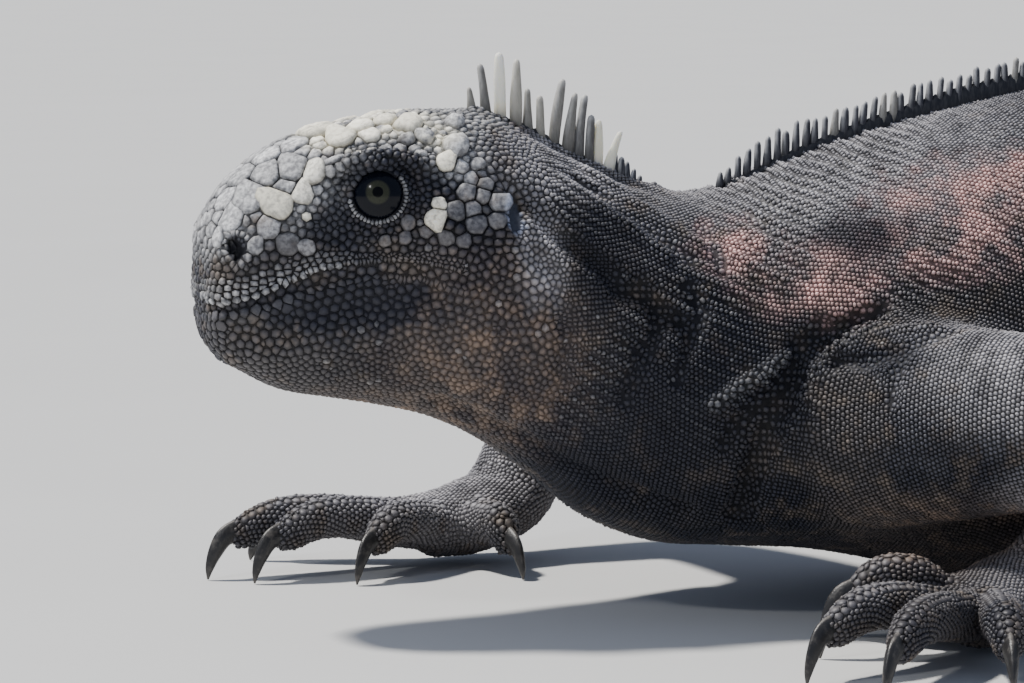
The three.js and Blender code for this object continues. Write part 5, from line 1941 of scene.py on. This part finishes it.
class IGUANA_OT_stage(bpy.types.Operator):
    """Lays the pale floor, hangs the soft lights and sets the camera"""

    bl_idname = "iguana.stage"
    bl_label = "Stage"

    def execute(self, context):
        scene = context.scene

        def stand(name, what, place=(0, 0, 0), way=(0, 0, 1)):
            """Sets a thing at a place, turned to look against way."""
            made = bpy.data.objects.new(name, what)
            made.location = place
            made.rotation_euler = Vector(way).to_track_quat("Z", "Y").to_euler()
            scene.collection.objects.link(made)
            return made

        floor_mesh = bpy.data.meshes.new("floor")
        corners = [(x * FLOOR_HALF, y * FLOOR_HALF, 0) for x, y in ((-1, -1), (1, -1), (1, 1), (-1, 1))]
        floor_mesh.from_pydata(corners, [], [(0, 1, 2, 3)])
        floor = bpy.data.objects.new("floor", floor_mesh)
        scene.collection.objects.link(floor)
        material, graph, paint = new_material("floor")
        grain = graph.noise(graph.place(), 9.0, 3.0)
        graph.feed(paint["Base Color"], graph.blend(grain, (0.62, 0.62, 0.61, 1), (0.66, 0.66, 0.65, 1)))
        paint["Roughness"].default_value = 0.85
        floor_mesh.materials.append(material)
        world = bpy.data.worlds.new("studio")
        world.use_nodes = True
        sky = world.node_tree.nodes["Background"].inputs
        sky["Color"].default_value, sky["Strength"].default_value = SKY, SKY_STRENGTH
        scene.world = world
        sun = bpy.data.lights.new("key", "SUN")
        sun.energy, sun.angle, sun.color = SUN_STRENGTH, SUN_ANGLE, SUN_COLOUR
        stand("key", sun, way=SUN_WAY)
        spark = bpy.data.lights.new("eye_light", "AREA")
        spark.energy, spark.size = EYE_LIGHT_POWER, EYE_LIGHT_SIZE
        eye = Vector(EYE_CENTRE * MM * [1, -1, 1])
        stand("eye_light", spark, eye + EYE_LIGHT_DISTANCE * Vector(EYE_LIGHT_WAY), EYE_LIGHT_WAY)
        camera = bpy.data.cameras.new("camera")
        camera.sensor_width = CAMERA_SENSOR
        camera.lens = CAMERA_FOCAL * CAMERA_SENSOR / FRAME_WIDTH
        camera.clip_end = 60
        turn, lift = math.radians(CAMERA_TURN), math.radians(CAMERA_LIFT)
        back = Vector((math.sin(turn) * math.cos(lift), -math.cos(turn) * math.cos(lift), math.sin(lift)))
        scene.camera = stand("camera", camera, Vector(CAMERA_AIM) + CAMERA_DISTANCE * back, back)
        return {"FINISHED"}


class IGUANA_PT_sidebar(bpy.types.Panel):
    """Lists the steps that make the model"""

    bl_idname = "IGUANA_PT_sidebar"
    bl_label = "Marine iguana"
    bl_space_type = "VIEW_3D"
    bl_region_type = "UI"
    bl_category = "Iguana"

    def draw(self, context):
        layout = self.layout
        for group in (context.scene.iguana_sizes, context.scene.iguana_colours):
            for name in group.bl_rna.properties.keys():
                if name not in ("rna_type", "name"):
                    layout.prop(group, name)
        for operator in OPERATORS:
            layout.operator(operator.bl_idname)


OPERATORS = (IGUANA_OT_hide, IGUANA_OT_scales, IGUANA_OT_crest, IGUANA_OT_claws, IGUANA_OT_eyes,
             IGUANA_OT_stage)
CLASSES = (IguanaSizes, IguanaColours, *OPERATORS, IGUANA_PT_sidebar)


def register():
    for one in CLASSES:
        bpy.utils.register_class(one)
    bpy.types.Scene.iguana_sizes = PointerProperty(type=IguanaSizes)
    bpy.types.Scene.iguana_colours = PointerProperty(type=IguanaColours)


def unregister():
    del bpy.types.Scene.iguana_colours
    del bpy.types.Scene.iguana_sizes
    for one in reversed(CLASSES):
        bpy.utils.unregister_class(one)


def main():
    register()
    bpy.ops.iguana.stage()
    bpy.ops.iguana.hide()
    bpy.ops.iguana.scales()
    bpy.ops.iguana.crest()
    bpy.ops.iguana.claws()
    bpy.ops.iguana.eyes()


if __name__ == "__main__":
    main()
